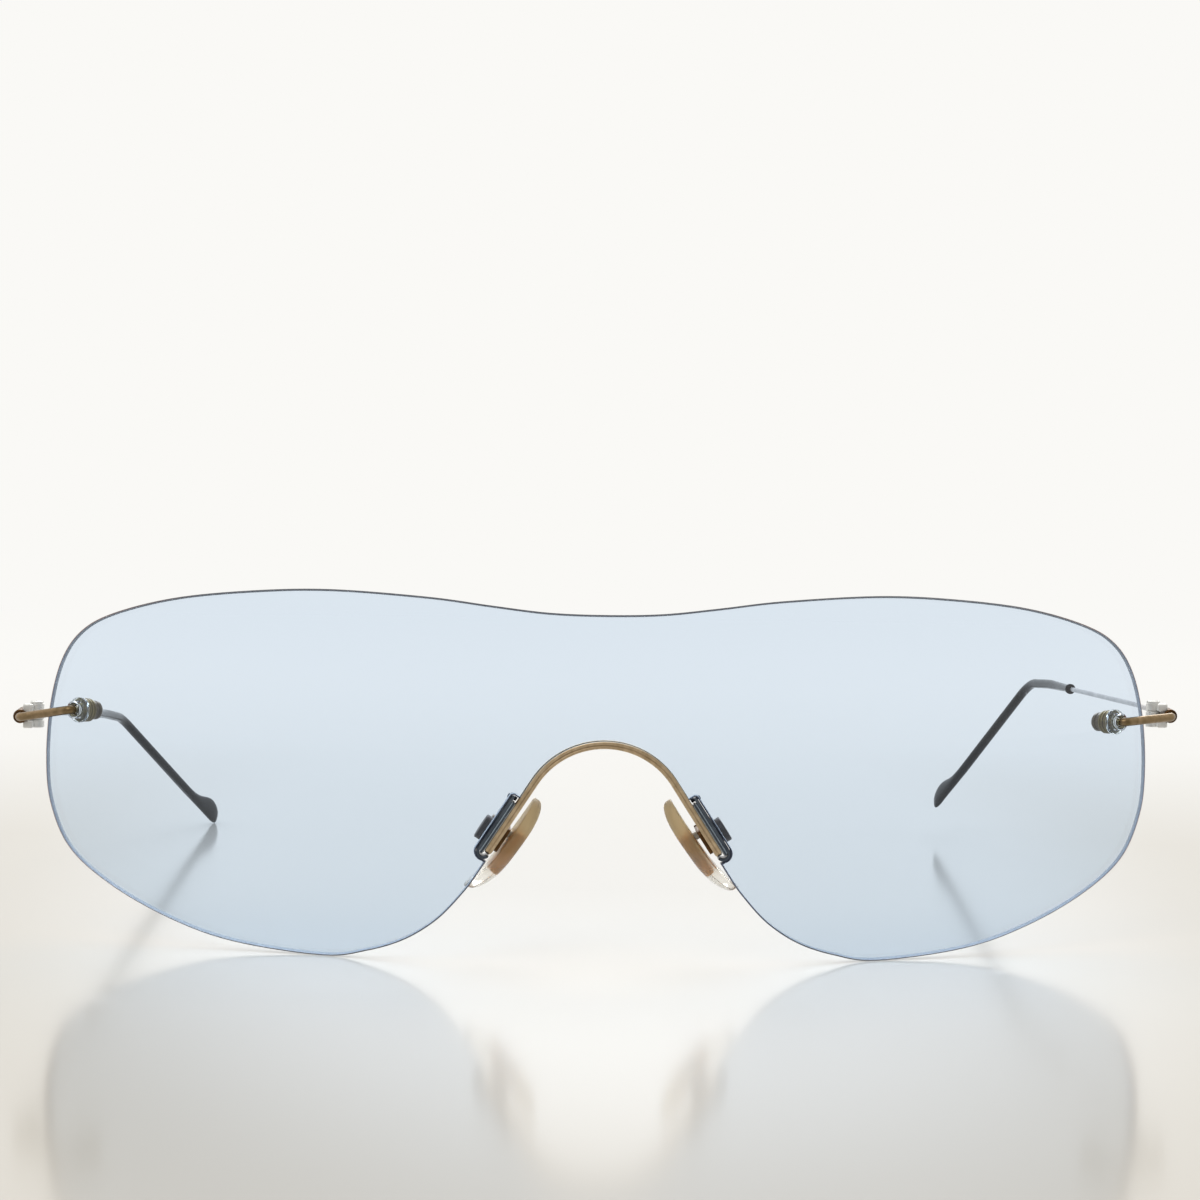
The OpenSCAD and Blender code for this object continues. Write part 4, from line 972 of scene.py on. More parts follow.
for s in (LEFT, RIGHT):
    spin = CLAMP @ Matrix.Translation((HOOK_OUT, CLAMP_Y, 0)) @ Matrix.Rotation(math.pi / 2, 4, "Y")
    blank = at(spin, turned_screw(HEAD_R, HEAD_H, SHANK_R, 2.3, 0.1))
    screw = make_piece(s["name"] + "_clamp_screw_turned", [(*blank, 0)], [screw_black], "front",
                       [s["name"] + "_clamp_screw"], s["x"])
    floor = HOOK_OUT + HEAD_H - SLOT_D
    slotted(screw, (floor, CLAMP_Y - SLOT_W / 2, -2), (floor + 1, CLAMP_Y + SLOT_W / 2, 2), CLAMP, s["x"])
print("clamp screw head", 2 * HEAD_R, "mm across")

# %% Pad arms and their screws
ARM_T, ARM_FRONT, CORNER_R = 0.45, 1.3, TAB_HALF - 1.0
BOX_OUT, BOX_WALL, BOX_HALF = 1.99, 0.4, 1.035
BOX = [(-ARM_T, BOX_FRONT), (BOX_OUT, BOX_FRONT), (BOX_OUT, BOX_BACK), (-ARM_T, BOX_BACK),
       (-ARM_T, BOX_BACK - CHEEK_T), (BOX_OUT - BOX_WALL, BOX_BACK - CHEEK_T),
       (BOX_OUT - BOX_WALL, BOX_FRONT + CHEEK_T), (-ARM_T, BOX_FRONT + CHEEK_T)]
corner = [(ARM_FRONT + CORNER_R * (1 - math.cos(a)), 1.0 + CORNER_R * math.sin(a)) for a in (1.57, 1.0, 0.5)]
ARM = [(ARM_FRONT, -1.0)] + [(y, -z) for y, z in corner[::-1]] \
    + [(BOX_FRONT + CHEEK_T, -TAB_HALF), (BOX_FRONT + CHEEK_T, TAB_HALF)] + corner + [(ARM_FRONT, 1.0)]
PAD_HEAD_R, PAD_HEAD_H, PAD_SHANK_R, PAD_SHANK_L = 0.75, 0.4, 0.45, 2.32
for s in (LEFT, RIGHT):
    flat_arm = [(z, y) for y, z in ARM]
    upright = CLAMP @ Matrix(((0, 0, 1, 0), (0, 1, 0, 0), (1, 0, 0, 0), (0, 0, 0, 1)))
    arm = at(upright, plate(flat_arm, -ARM_T, 0.0, 0.08))
    box = at(CLAMP, plate(BOX, PIVOT_UP - BOX_HALF, PIVOT_UP + BOX_HALF, 0.09))
    make_piece(s["name"] + "_pad_arm_stamped", [(*arm, 0), (*box, 0)], [brown_plate], "front",
               [s["name"] + "_pad_arm"], s["x"])
    spin = CLAMP @ Matrix.Translation((PIVOT_OUT, BOX_BACK, PIVOT_UP)) @ Matrix.Rotation(-math.pi / 2, 4, "X")
    blank = at(spin, turned_screw(PAD_HEAD_R, PAD_HEAD_H, PAD_SHANK_R, PAD_SHANK_L, 0.12))
    screw = make_piece(s["name"] + "_pad_screw_turned", [(*blank, 0)], [silver_painted_glare], "front",
                       [s["name"] + "_pad_screw"], s["x"])
    slotted(screw, (PIVOT_OUT - 1.1, BOX_BACK + PAD_HEAD_H / 2, PIVOT_UP - SLOT_W / 2),
            (PIVOT_OUT + 1.1, BOX_BACK + 1, PIVOT_UP + SLOT_W / 2), CLAMP, s["x"])
print("pad box depth", round(BOX_BACK - BOX_FRONT, 2), "mm")

# %% [markdown]
# ## Nose pads
# The pads are soft clear silicone moulded round a stamped metal core. Skin oil
# has turned their upper part amber, cloudy and matt, and the foot is clear.
# Silicone has IOR 1.41, and through it the copper-brown core shows with soft
# edges. Its skin has a fine moulded grain of about 0.05 mm, drawn 0.2 mm coarse
# here.

# %% Pad silicone
pad_silicone, tree, shader, mm = start_material("yellowed_moulded_silicone", {
    "IOR": 1.41, "Specular IOR Level": 0.3})
height = add(tree, "ShaderNodeSeparateXYZ", links={"Vector": mm})
cloud = add(tree, "ShaderNodeTexNoise", {"Scale": 0.35, "Detail": 3.0}, {"Vector": mm})
age = add(tree, "ShaderNodeMapRange", {"From Min": 10.6, "From Max": 14.6}, {"Value": height.outputs["Z"]})
age = add(tree, "ShaderNodeMath", {"operation": "MULTIPLY_ADD", 1: 0.35, "use_clamp": True},
          {0: cloud.outputs["Fac"], 2: age.outputs[0]})
tone = add(tree, "ShaderNodeValToRGB", {"stops": ((0.2, "F6F3EC"), (1.0, "D2BC92"))}, {"Fac": age.outputs[0]})
tree.links.new(tone.outputs[0], shader.inputs["Base Color"])
clear = add(tree, "ShaderNodeMapRange", {"From Min": 0.2, "From Max": 1.0, "To Min": 0.94, "To Max": 0.7},
            {"Value": age.outputs[0]})
tree.links.new(clear.outputs[0], shader.inputs["Transmission Weight"])
matt = add(tree, "ShaderNodeMapRange", {"From Min": 0.2, "From Max": 1.0, "To Min": 0.16, "To Max": 0.5},
           {"Value": age.outputs[0]})
tree.links.new(matt.outputs[0], shader.inputs["Roughness"])
grain = add(tree, "ShaderNodeTexNoise", {"Scale": 5.0, "Detail": 2.0}, {"Vector": mm})
bump = add(tree, "ShaderNodeBump", {"Strength": 0.12, "Distance": 0.03 * MM},
           {"Height": grain.outputs["Fac"]})
tree.links.new(bump.outputs[0], shader.inputs["Normal"])
print("pad material:", pad_silicone.name)

# %% Pads and cores
PAD_L, PAD_W, PAD_T, PAD_SIDES = 13.8, 7.6, 1.9, 64
PAD_FULLNESS = 2 / 2.35
PAD_RIM_T, FIT = 0.7, 0.03


def pad_outline(size):
    """A superellipse, fuller than an oval: (along, across) points."""
    out = []
    for k in range(PAD_SIDES):
        c, s = math.cos(2 * math.pi * k / PAD_SIDES), math.sin(2 * math.pi * k / PAD_SIDES)
        out.append((size * PAD_L / 2 * math.copysign(abs(c) ** PAD_FULLNESS, c),
                    size * PAD_W / 2 * math.copysign(abs(s) ** PAD_FULLNESS, s)))
    return out


def pad_bend(length):
    """Both ends of a worn pad have crept outwards, the foot most."""
    return 0.028 * max(0, -length - 1) ** 2 + 0.012 * max(0, length - 2) ** 2


def pad_body():
    """Back at X nought with a crisp edge, and a face towards the nose that is nearly flat."""
    rows = [(0.3, 0.0), (0.6, 0.0), (0.93, 0.0), (0.975, -0.03), (0.995, -0.1), (1.0, -0.2),
            (1.0, -PAD_RIM_T)]
    rows += [(math.cos(a) ** 0.5, -PAD_RIM_T - (PAD_T - PAD_RIM_T) * math.sin(a))
             for a in (0.15, 0.3, 0.45, 0.6, 0.8, 1.0, 1.2, 1.4, 1.5)]
    points, faces, n = [], [], PAD_SIDES
    for size, depth in rows:
        points += [(depth + pad_bend(length), across, length) for length, across in pad_outline(size)]
    points += [(0.0, 0, 0), (-PAD_T, 0, 0)]
    for i in range(len(rows) - 1):
        for k in range(n):
            m = (k + 1) % n
            faces.append((i * n + k, (i + 1) * n + k, (i + 1) * n + m, i * n + m))
    last = (len(rows) - 1) * n
    faces += [(len(points) - 2, k, (k + 1) % n) for k in range(n)]
    faces += [(len(points) - 1, last + (k + 1) % n, last + k) for k in range(n)]
    return points, faces


def ring(bore, radius, low, high, edge=0.08):
    """A turned ring with both its outer edges broken."""
    return lathe([(bore, low), (radius - edge, low), (radius, low + edge), (radius, high - edge),
                  (radius - edge, high), (bore, high), (bore, low)])


for s in (LEFT, RIGHT):
    make_piece(s["name"] + "_nose_pad_moulded", [(*at(PAD, pad_body()), 0)], [pad_silicone],
               s["name"] + "_pad", [s["name"] + "_nose_pad"], s["x"], 60)
    pivot = CLAMP @ Matrix.Translation((PIVOT_OUT, PAD_Y, PIVOT_UP)) @ Matrix.Rotation(math.pi / 2, 4, "X")
    lug = at(pivot, ring(PAD_SHANK_R + FIT, LUG_R, -LUG_W / 2, LUG_W / 2))
    neck = at(CLAMP, block((-1.6, PAD_Y - 0.55, PIVOT_UP - 0.5), (-0.1, PAD_Y + 0.55, PIVOT_UP + 0.5), 0.1))
    leaf = at(PAD, block((-1.5, -1.3, -0.55 - 2.8), (-0.4, 1.3, -0.55 + 2.8), 0.25))
    make_piece(s["name"] + "_pad_core_stamped", [(*lug, 1), (*neck, 1), (*leaf, 0)],
               [copper_plate, silver_painted_glare], s["name"] + "_pad",
               [s["name"] + "_pad_core"], s["x"])
print("pad", PAD_L, "by", PAD_W, "by", PAD_T, "mm")

# %% [markdown]
# ## Side fixings
# The wire's stud goes through a clear bushing in the side hole, and behind the
# lens a ringed nut and a blind cap hold it. These are turned parts, so their
# rings and chamfers come from their profiles.

# %% Bushings, nuts and caps
BUSHING = [(0.58, 0), (0.92, 0), (0.92, -1.83), (1.6, -1.83), (1.6, -2.33), (0.58, -2.33), (0.58, 0)]
bushing = lathe(rounded(BUSHING, 0.1)[:-1] + BUSHING[-1:])
NUT = [(0.58, -2.36), (1.34, -2.36), (1.5, -2.5), (1.5, -2.74), (1.4, -2.8), (1.4, -2.88), (1.5, -2.94),
       (1.5, -3.2), (1.4, -3.26), (1.4, -3.34), (1.48, -3.4), (1.48, -3.56), (1.34, -3.71), (0.58, -3.71),
       (0.58, -2.36)]
CAP = [(0, -4.82), (0.58, -4.82), (0.58, -3.74), (1.1, -3.74), (1.2, -3.82), (1.2, -4.3), (1.12, -4.36),
       (1.12, -4.44), (1.2, -4.5), (1.2, -4.86), (0.98, -5.16), (0.7, -5.27), (0, -5.29)]
for s in (LEFT, RIGHT):
    make_piece(s["name"] + "_lens_bushing_moulded", [(*at(HOLE, bushing), 0)], [clear_plastic],
               "front", [s["name"] + "_lens_bushing"], s["x"], 30)
    make_piece(s["name"] + "_lens_nut_turned", [(*at(HOLE, lathe(NUT)), 0)], [olive_plate],
               "front", [s["name"] + "_lens_nut"], s["x"], 30)
    make_piece(s["name"] + "_end_cap_turned", [(*at(HOLE, lathe(CAP)), 0)], [dark_nickel],
               "front", [s["name"] + "_end_cap"], s["x"], 30)
print("stack behind the lens:", round(-CAP[-1][1] - LENS_T, 2), "mm")

# %% [markdown]
# ## End pieces and hinges
# From the stud the 1.1 mm wire turns outward along the front of the lens and
# back round an elbow into a small round collar, to which the two outer knuckles
# are brazed. These are silver, painted nearly white as painted glare. A slotted
# screw goes down through them and the temple's knuckle between them.

# %% End pieces and hinge screws
BARREL_H, OUTER_H, KNUCKLE_R, HINGE_HEAD_R, HINGE_HEAD_H = 3.1, 0.97, 0.95, 0.85, 0.3
COLLAR = [(0, -2.31), (0.9, -2.31), (0.9, -0.14), (0, -0.14)]
for s in (LEFT, RIGHT):
    hinge = s["hinge"]
    wire_end = Vector((TEMPLE_X, hinge.y - GAP, hinge.z))
    path = bent_path([s["stud"], s["corner"], s["elbow"], wire_end], [RUN_UP, ELBOW_R])
    there = Matrix.Translation(hinge)
    parts = [(*wire(path, WIRE_R, 0.2), 0)]
    for low in (-BARREL_H / 2, BARREL_H / 2 - OUTER_H):
        parts.append((*at(there, ring(SHANK_R + FIT, KNUCKLE_R, low, low + OUTER_H)), 1))
        parts.append((*at(there, block((0.3, -1.9, low), (1.6, -BUTT_GAP, low + OUTER_H), 0.2)), 1))
    back = Matrix.Translation((TEMPLE_X, hinge.y, hinge.z)) @ Matrix.Rotation(-math.pi / 2, 4, "X")
    parts.append((*at(back, lathe(rounded(COLLAR, 0.25))), 2))
    make_piece(s["name"] + "_end_piece_wire", parts, [wire_plate, silver_painted_glare, brown_plate],
               "front", [s["name"] + "_end_piece"], s["x"])
    top = there @ Matrix.Translation((0, 0, BARREL_H / 2))
    blank = at(top, turned_screw(HINGE_HEAD_R, HINGE_HEAD_H, SHANK_R, BARREL_H, 0.1))
    screw = make_piece(s["name"] + "_hinge_screw_turned", [(*blank, 0)], [silver_painted_glare],
                       "front", [s["name"] + "_hinge_screw"], s["x"])
    slotted(screw, (-2, -SLOT_W / 2, (BARREL_H + HINGE_HEAD_H) / 2), (2, SLOT_W / 2, 2.4), there, s["x"])
print("hinge barrel", BARREL_H, "mm high")

# %% [markdown]
# ## Temples
# Each temple is 0.7 mm spring wire soldered into a tapered ferrule that carries
# the middle knuckle. The wire runs on inside the black tip, where only its front
# is seen.

# %% Temples
TEMPLE_WIRE_R, CORE_SHARE, MIDDLE_H = 0.34, 0.8, 1.0
FERRULE_BEND, SLEEVE_BEND, EAR_BEND = 10, 60, 12
FERRULE = [(0, 0.12), (0.78, 0.12), (0.9, 0.24), (0.9, 2.5), (0.87, 2.6), (0.87, 2.7), (0.88, 3.0),
           (0.72, 3.45), (0.52, 3.95), (0.41, 4.4), (0.36, 4.6), (0, 4.62)]
for s in (LEFT, RIGHT):
    hinge, end = s["hinge"], s["ferrule_end"]
    wire_end = s["ear"] + CORE_SHARE * (s["tip"] - s["ear"])
    points = [end - Vector((0, 1.1, 0)), end, s["bend"], s["ear"], wire_end]
    rod = wire(bent_path(points, [FERRULE_BEND, SLEEVE_BEND, EAR_BEND]), TEMPLE_WIRE_R, 0.12, 20)
    back = Matrix.Translation((TEMPLE_X, hinge.y, hinge.z)) @ Matrix.Rotation(-math.pi / 2, 4, "X")
    there = Matrix.Translation(hinge)
    knuckle = at(there, ring(SHANK_R + FIT, KNUCKLE_R, -MIDDLE_H / 2, MIDDLE_H / 2))
    link = at(there, block((0.55, BUTT_GAP, -MIDDLE_H / 2), (1.93, 1.9, MIDDLE_H / 2), 0.12))
    parts = [(*rod, 1), (*at(back, lathe(FERRULE)), 0), (*knuckle, 2), (*link, 2)]
    make_piece(s["name"] + "_temple_wire", parts, [brown_plate, spring_wire, silver_painted_glare],
               s["name"] + "_temple", [s["name"] + "_temple"], s["x"])
print("temple wire", 2 * TEMPLE_WIRE_R, "mm, ferrule", FERRULE_L, "mm long")

# %% [markdown]
# ## Temple tips
# The tips are black acetate sleeves pushed on from behind. Each starts in a
# flared collar that is dished at the front, thickens a little, turns down behind
# the ear and ends in a paddle that swells on its upper side. A section lofted
# along the leg turns the round sleeve into the flat paddle. Acetate is glossy
# with IOR 1.48, and pocket wear dulls it in soft streaks about 2 mm long. The
# paddle's rows are (share of its length, lower edge, upper edge), with both edges
# as shares of its width, and the collar's rows are (radius, distance along).

# %% Black acetate
black_acetate, tree, shader, mm = start_material("black_cellulose_acetate", {
    "IOR": 1.48, "Roughness": 0.2, "Specular IOR Level": 0.1})
wear = add(tree, "ShaderNodeMapping", {"Scale": (1.0, 0.3, 1.0)}, {"Vector": mm})
wear = add(tree, "ShaderNodeTexNoise", {"Scale": 1.6, "Detail": 5.0, "Roughness": 0.6},
           {"Vector": wear.outputs[0]})
tone = add(tree, "ShaderNodeValToRGB", {"stops": ((0.35, "05070C"), (0.75, "10141E"))},
           {"Fac": wear.outputs["Fac"]})
dull = add(tree, "ShaderNodeMapRange", {"From Min": 0.4, "From Max": 0.7, "To Min": 0.1, "To Max": 0.26},
           {"Value": wear.outputs["Fac"]})
bump = add(tree, "ShaderNodeBump", {"Strength": 0.1, "Distance": 0.04 * MM}, {"Height": wear.outputs["Fac"]})
tree.links.new(tone.outputs[0], shader.inputs["Base Color"])
tree.links.new(dull.outputs[0], shader.inputs["Roughness"])
tree.links.new(bump.outputs[0], shader.inputs["Normal"])
print("tip material:", black_acetate.name)

# %% Sleeves and paddles
PADDLE = [(0.0, -0.2, 0.2), (0.16, -0.2, 0.24), (0.29, -0.2, 0.31), (0.4, -0.2, 0.41), (0.5, -0.2, 0.54),
          (0.6, -0.2, 0.68), (0.69, -0.2, 0.77), (0.77, -0.2, 0.8), (0.85, -0.2, 0.76), (0.915, -0.185, 0.66),
          (0.965, -0.15, 0.56), (0.985, -0.12, 0.47), (0.996, -0.05, 0.34)]
PADDLE_L, PADDLE_W, SLEEVE_THIN_R, SWELL_RUN = 12, 3.1, 0.52, 13
COLLAR_ROWS = ((0.4, 0.35), (0.55, 0.12), (0.68, 0.0), (0.75, 0.08), (0.74, 0.5), (0.66, 0.85), (0.56, 1.15),
               (0.52, 1.5))


def tip_sleeve(s, sides=40):
    """Collar, sleeve, ear bend and paddle of one side, as one closed loft."""
    start, d = s["sleeve"], aim(s["lean"], s["fall"])
    stop = s["tip"] - PADDLE_L * s["leg"]
    path = bent_path([start, s["bend"], s["ear"], stop], [SLEEVE_BEND, EAR_BEND], 4)
    frames = along(path)
    total = sum((b - a).length for a, b in zip(path, path[1:]))
    rows, run = [], 0.0
    for r, w in COLLAR_ROWS:
        rows.append((start + d * w, frames[0][1], frames[0][2], r, r, 2.0))
    for i, p in enumerate(path):
        if i:
            run += (p - path[i - 1]).length
        if run < 2.2:
            continue
        r = SLEEVE_THIN_R + (SLEEVE_R - SLEEVE_THIN_R) * min(1, run / SWELL_RUN)
        rows.append((p, frames[i][1], frames[i][2], r, r, 2.0))
    leg = s["leg"]
    level = leg.cross(Vector((0, 0, 1))).normalized()
    down = leg.cross(level)
    turn = math.radians(s["blade"])
    across = math.cos(turn) * level + math.sin(turn) * down
    up = -(-math.sin(turn) * level + math.cos(turn) * down)
    u, v = frames[-1][1], frames[-1][2]
    spin = math.atan2(across.dot(v), across.dot(u))
    rows = [(p, math.cos(spin) * a + math.sin(spin) * b, -math.sin(spin) * a + math.cos(spin) * b, r, q, e)
            for p, a, b, r, q, e in rows]
    up_sign = math.copysign(1, rows[-1][2].dot(up))
    for share, low, high in PADDLE:
        thick = SLEEVE_R - 0.08 * min(1, share / 0.5)
        thick *= math.sqrt(max(0.04, 1 - max(0, (share - 0.72) / 0.285) ** 4))
        middle = s["tip"] - (1 - share) * PADDLE_L * leg + up * PADDLE_W * (low + high) / 2
        size = SLEEVE_R if share == 0 else PADDLE_W * (high - low) / 2
        rows.append((middle, across, up * up_sign, thick, size, 2.0 + 0.4 * min(1, share / 0.5)))
    points, faces = [], []
    for p, a, b, r, q, power in rows:
        for k in range(sides):
            c, n = math.cos(2 * math.pi * k / sides), math.sin(2 * math.pi * k / sides)
            points.append(p + a * r * math.copysign(abs(c) ** (2 / power), c)
                          + b * q * math.copysign(abs(n) ** (2 / power), n))
    for i in range(len(rows) - 1):
        for k in range(sides):
            m = (k + 1) % sides
            faces.append((i * sides + k, i * sides + m, (i + 1) * sides + m, (i + 1) * sides + k))
    faces.append(tuple(range(sides))[::-1])
    faces.append(tuple(range(len(points) - sides, len(points))))
    return (points, faces), total


for s in (LEFT, RIGHT):
    part, total = tip_sleeve(s)
    make_piece(s["name"] + "_temple_tip_sleeve", [(*part, 0)], [black_acetate],
               s["name"] + "_temple", [s["name"] + "_temple_tip"], s["x"], 50)
    print(s["name"], "tip length", round(total + PADDLE_L, 1), "mm")

# %% [markdown]
# ## Finishes for the CAD solids
# The CAD solids behind the finer pieces aren't shown, but each still carries the
# finish of its piece, so the model never holds a bare surface.

# %% Carried-over finishes
FINISH = {"lens": polycarbonate, "clear_plastic": clear_plastic, "bronze_metal": bronze_plate,
          "dark_metal": gunmetal_plate, "brown_metal": brown_plate, "nut_metal": olive_plate,
          "copper_metal": copper_plate, "bright_metal": silver_painted_glare, "pad_silicone": pad_silicone,
          "tip_sleeve": black_acetate}
slot_of = {row["node"]: row["material_slot"] for row in frame["record"]["subparts"]}
for name, node in frame["nodes"].items():
    if not node.material_slots:
        node.data.materials.append(None)
    for place in node.material_slots:
        place.material = FINISH[slot_of[name]]
print("finished CAD solids:", len(slot_of))

# %% [markdown]
# ## Table, backdrop and light
# The glasses stand on glossy off-white board in front of a lit white backdrop,
# so most light comes from behind and above and the metals look darker towards
# the viewer. The board is a dielectric with a smooth coat: its mirror image of
# the lens is what you see in front of the glasses. The board is painted darker
# and warmer towards its sides as painted shade, glows a little in the middle in
# front of the glasses as a painted pool of light, and fades to the backdrop's
# white far behind. What the lens and the metals mirror of the table is a
# painted reflection, a glow that is dimmer in front, where the photographer
# stands. The world's colour is set apart for what the camera and the glass see,
# for what metals mirror, and for the soft light itself.

# %% Table board
board = bpy.data.meshes.new("table_board")
board.from_pydata([(-4, -2, 0), (4, -2, 0), (4, 6, 0), (-4, 6, 0)], [], [(0, 1, 2, 3)])
table = bpy.data.objects.new("table_board", board)
bpy.context.scene.collection.objects.link(table)
board_paint, tree, shader, mm = start_material("glossy_white_laminate", {
    "Roughness": 0.12, "IOR": 1.6, "Emission Color": linear("FBFAF5")})
cloud = add(tree, "ShaderNodeTexNoise", {"Scale": 0.006, "Detail": 2.0}, {"Vector": mm})
tone = add(tree, "ShaderNodeMix", {"data_type": "RGBA", 6: linear("F6F4F0"), 7: linear("FCFBF8")},
           {0: cloud.outputs["Fac"]})
place = add(tree, "ShaderNodeSeparateXYZ", links={"Vector": mm})
spot = add(tree, "ShaderNodeMapping", {
    "vector_type": "TEXTURE", "Location": (4.0, 60.0, 0.0), "Scale": (75.0, 260.0, 1.0)}, {"Vector": mm})
spot = add(tree, "ShaderNodeVectorMath", {"operation": "LENGTH"}, {0: spot.outputs[0]})
# Painted shade: darker and warmer towards the sides, except far behind.
painted_side_shade = add(tree, "ShaderNodeMapRange", {
    "interpolation_type": "SMOOTHSTEP", "From Min": 0.72, "From Max": 1.25}, {"Value": spot.outputs["Value"]})
near = add(tree, "ShaderNodeMapRange", {"From Min": 220.0, "From Max": 60.0}, {"Value": place.outputs["Y"]})
painted_side_shade = add(tree, "ShaderNodeMath", {"operation": "MULTIPLY"}, {0: painted_side_shade.outputs[0], 1: near.outputs[0]})
tone = add(tree, "ShaderNodeMix", {"data_type": "RGBA", 7: linear("DDD6C9")},
           {0: painted_side_shade.outputs[0], 6: tone.outputs[2]})
tree.links.new(tone.outputs[2], shader.inputs["Base Color"])
rays = add(tree, "ShaderNodeLightPath")
# Painted pool of light: camera rays see the board glow a little in the middle, in front of the glasses.
painted_light_pool = add(tree, "ShaderNodeMath", {"operation": "MULTIPLY_ADD", 1: -0.08, 2: 0.08}, {0: painted_side_shade.outputs[0]})
ahead = add(tree, "ShaderNodeMapRange", {"From Min": 0.0, "From Max": -95.0}, {"Value": place.outputs["Y"]})
painted_light_pool = add(tree, "ShaderNodeMath", {"operation": "MULTIPLY"}, {0: painted_light_pool.outputs[0], 1: ahead.outputs[0]})
painted_light_pool = add(tree, "ShaderNodeMath", {"operation": "MULTIPLY"},
           {0: painted_light_pool.outputs[0], 1: rays.outputs["Is Camera Ray"]})
tree.links.new(painted_light_pool.outputs[0], shader.inputs["Emission Strength"])
FADE_FROM, FADE_TO = 60.0, 650.0
fade = add(tree, "ShaderNodeMapRange", {
    "interpolation_type": "SMOOTHSTEP", "From Min": FADE_FROM, "From Max": FADE_TO},
    {"Value": place.outputs["Y"]})
white = add(tree, "ShaderNodeEmission", {"Color": linear("FAF9F6"), "Strength": 1.0})
mix = add(tree, "ShaderNodeMixShader", links={0: fade.outputs[0], 1: shader.outputs[0], 2: white.outputs[0]})
# Painted reflection: glossy rays see the board as a glow, dimmer in front.
back = add(tree, "ShaderNodeMapRange", {
    "interpolation_type": "SMOOTHSTEP", "From Min": -250.0, "From Max": 150.0,
    "To Min": 0.42, "To Max": 0.92}, {"Value": place.outputs["Y"]})
painted_board_reflection = add(tree, "ShaderNodeEmission", {"Color": linear("FAF9F6")}, {"Strength": back.outputs[0]})
mirrored = add(tree, "ShaderNodeMath", {"operation": "SUBTRACT", "use_clamp": True},
               {0: rays.outputs["Is Glossy Ray"], 1: rays.outputs["Is Transmission Ray"]})
mix = add(tree, "ShaderNodeMixShader", links={
    0: mirrored.outputs[0], 1: mix.outputs[0], 2: painted_board_reflection.outputs[0]})
tree.links.new(mix.outputs[0], tree.nodes["Material Output"].inputs["Surface"])
board.materials.append(board_paint)
print("table fades out from", FADE_FROM, "to", FADE_TO, "mm behind")

# %% World
world = bpy.data.worlds.new("studio")
bpy.context.scene.world = world
world.use_nodes = True
tree = world.node_tree
tree.nodes.clear()
rays = add(tree, "ShaderNodeLightPath")
way = add(tree, "ShaderNodeTexCoord")
way = add(tree, "ShaderNodeSeparateXYZ", links={"Vector": way.outputs["Generated"]})
seen = add(tree, "ShaderNodeBackground", {"Color": linear("FAF9F6"), "Strength": 1.0})
front_to_back = add(tree, "ShaderNodeMapRange", {"From Min": -1.0, "From Max": 1.0},
                    {"Value": way.outputs["Y"]})
room = add(tree, "ShaderNodeValToRGB", {"stops": ((0.0, "AAA8A4"), (0.35, "BEBBB6"), (0.62, "FAF9F6"))},
           {"Fac": front_to_back.outputs[0]})
mirrored_room = add(tree, "ShaderNodeBackground", {"Strength": 1.0}, {"Color": room.outputs[0]})
soft = add(tree, "ShaderNodeBackground", {"Color": linear("F4F3F0"), "Strength": 0.62})
direct = add(tree, "ShaderNodeMath", {"operation": "MAXIMUM"},
             {0: rays.outputs["Is Camera Ray"], 1: rays.outputs["Is Transmission Ray"]})
first = add(tree, "ShaderNodeMath", {"operation": "LESS_THAN", 1: 0.5}, {0: rays.outputs["Diffuse Depth"]})
direct = add(tree, "ShaderNodeMath", {"operation": "MULTIPLY"}, {0: direct.outputs[0], 1: first.outputs[0]})
light = add(tree, "ShaderNodeMixShader", links={
    0: rays.outputs["Is Glossy Ray"], 1: soft.outputs[0], 2: mirrored_room.outputs[0]})
both = add(tree, "ShaderNodeMixShader", links={0: direct.outputs[0], 1: light.outputs[0], 2: seen.outputs[0]})
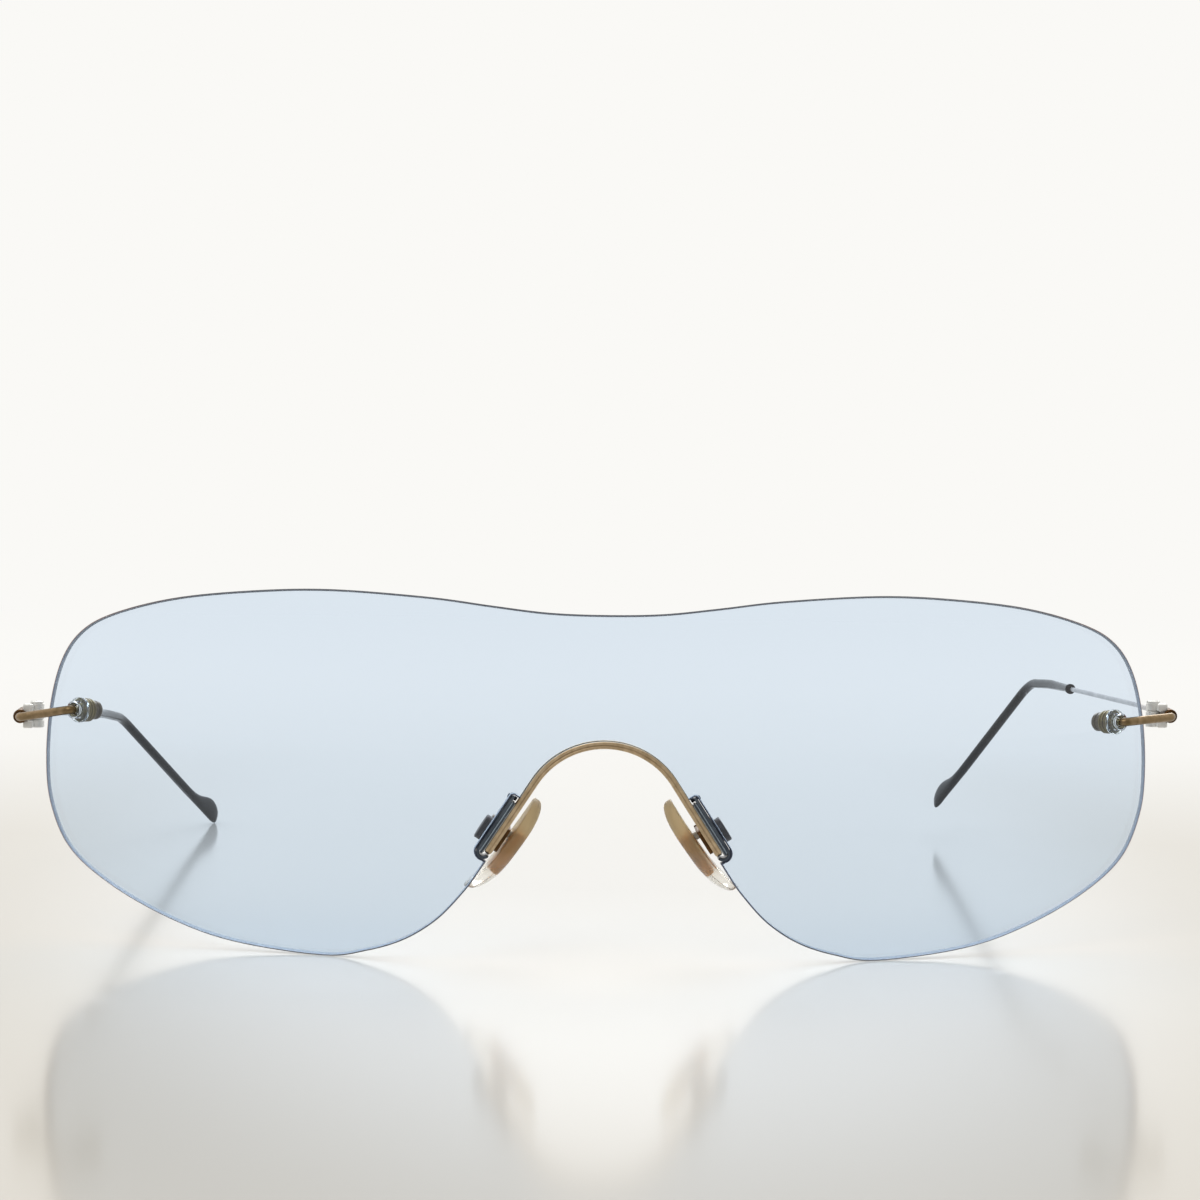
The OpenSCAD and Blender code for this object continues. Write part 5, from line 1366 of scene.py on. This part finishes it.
add(tree, "ShaderNodeOutputWorld", links={"Surface": both.outputs[0]})
print("world nodes:", len(tree.nodes))

# %% Lamps


def softbox(name, where, aim_at, size, power):
    """A large square lamp that faces a point; places in metres."""
    lamp = bpy.data.lights.new(name, "AREA")
    lamp.shape, lamp.size, lamp.energy = "SQUARE", size, power
    stand = bpy.data.objects.new(name, lamp)
    stand.location = where
    stand.rotation_euler = (Vector(aim_at) - Vector(where)).to_track_quat("-Z", "Y").to_euler()
    bpy.context.scene.collection.objects.link(stand)
    return stand


softbox("back_softbox", (0.1, 1.1, 0.9), (0, 0, 0), 1.0, 9.0)
softbox("front_softbox", (-0.5, -1.0, 1.1), (0, 0, 0), 0.9, 4.0)
print("lamps:", len(bpy.data.lights))

# %% [markdown]
# ## Camera
# The view is from straight in front, a little to the wearer's right, 72 mm above
# the table and 481 mm from the lens, through a moderately long lens. These come
# from the perspective of the lens outline, the ear bends and the tips.

# %% Camera
CAMERA_AT, SENSOR_W, FOCAL_PX, PICTURE_PX = (-16.16, -480.73, 71.70), 36.0, 3957.28, 1200
camera = bpy.data.objects.new("camera", bpy.data.cameras.new("camera"))
bpy.context.scene.collection.objects.link(camera)
pitch, yaw, roll = 0.055215, 0.031686, 0.014437
ahead = Vector((math.sin(yaw) * math.cos(pitch), math.cos(yaw) * math.cos(pitch), -math.sin(pitch)))
right = Vector((math.cos(yaw), -math.sin(yaw), 0))
up = right.cross(ahead)
right, up = math.cos(roll) * right + math.sin(roll) * up, -math.sin(roll) * right + math.cos(roll) * up
camera.matrix_world = Matrix.Translation(placed(CAMERA_AT)) \
    @ Matrix((right, up, -ahead)).transposed().to_4x4()
camera.data.sensor_width = SENSOR_W
camera.data.lens = SENSOR_W * FOCAL_PX / PICTURE_PX
camera.data.clip_start, camera.data.clip_end = 0.01, 50
bpy.context.scene.camera = camera
bpy.context.scene.view_settings.view_transform = "Standard"
print("camera", [round(v, 3) for v in camera.location], "focal length", round(camera.data.lens, 1), "mm")
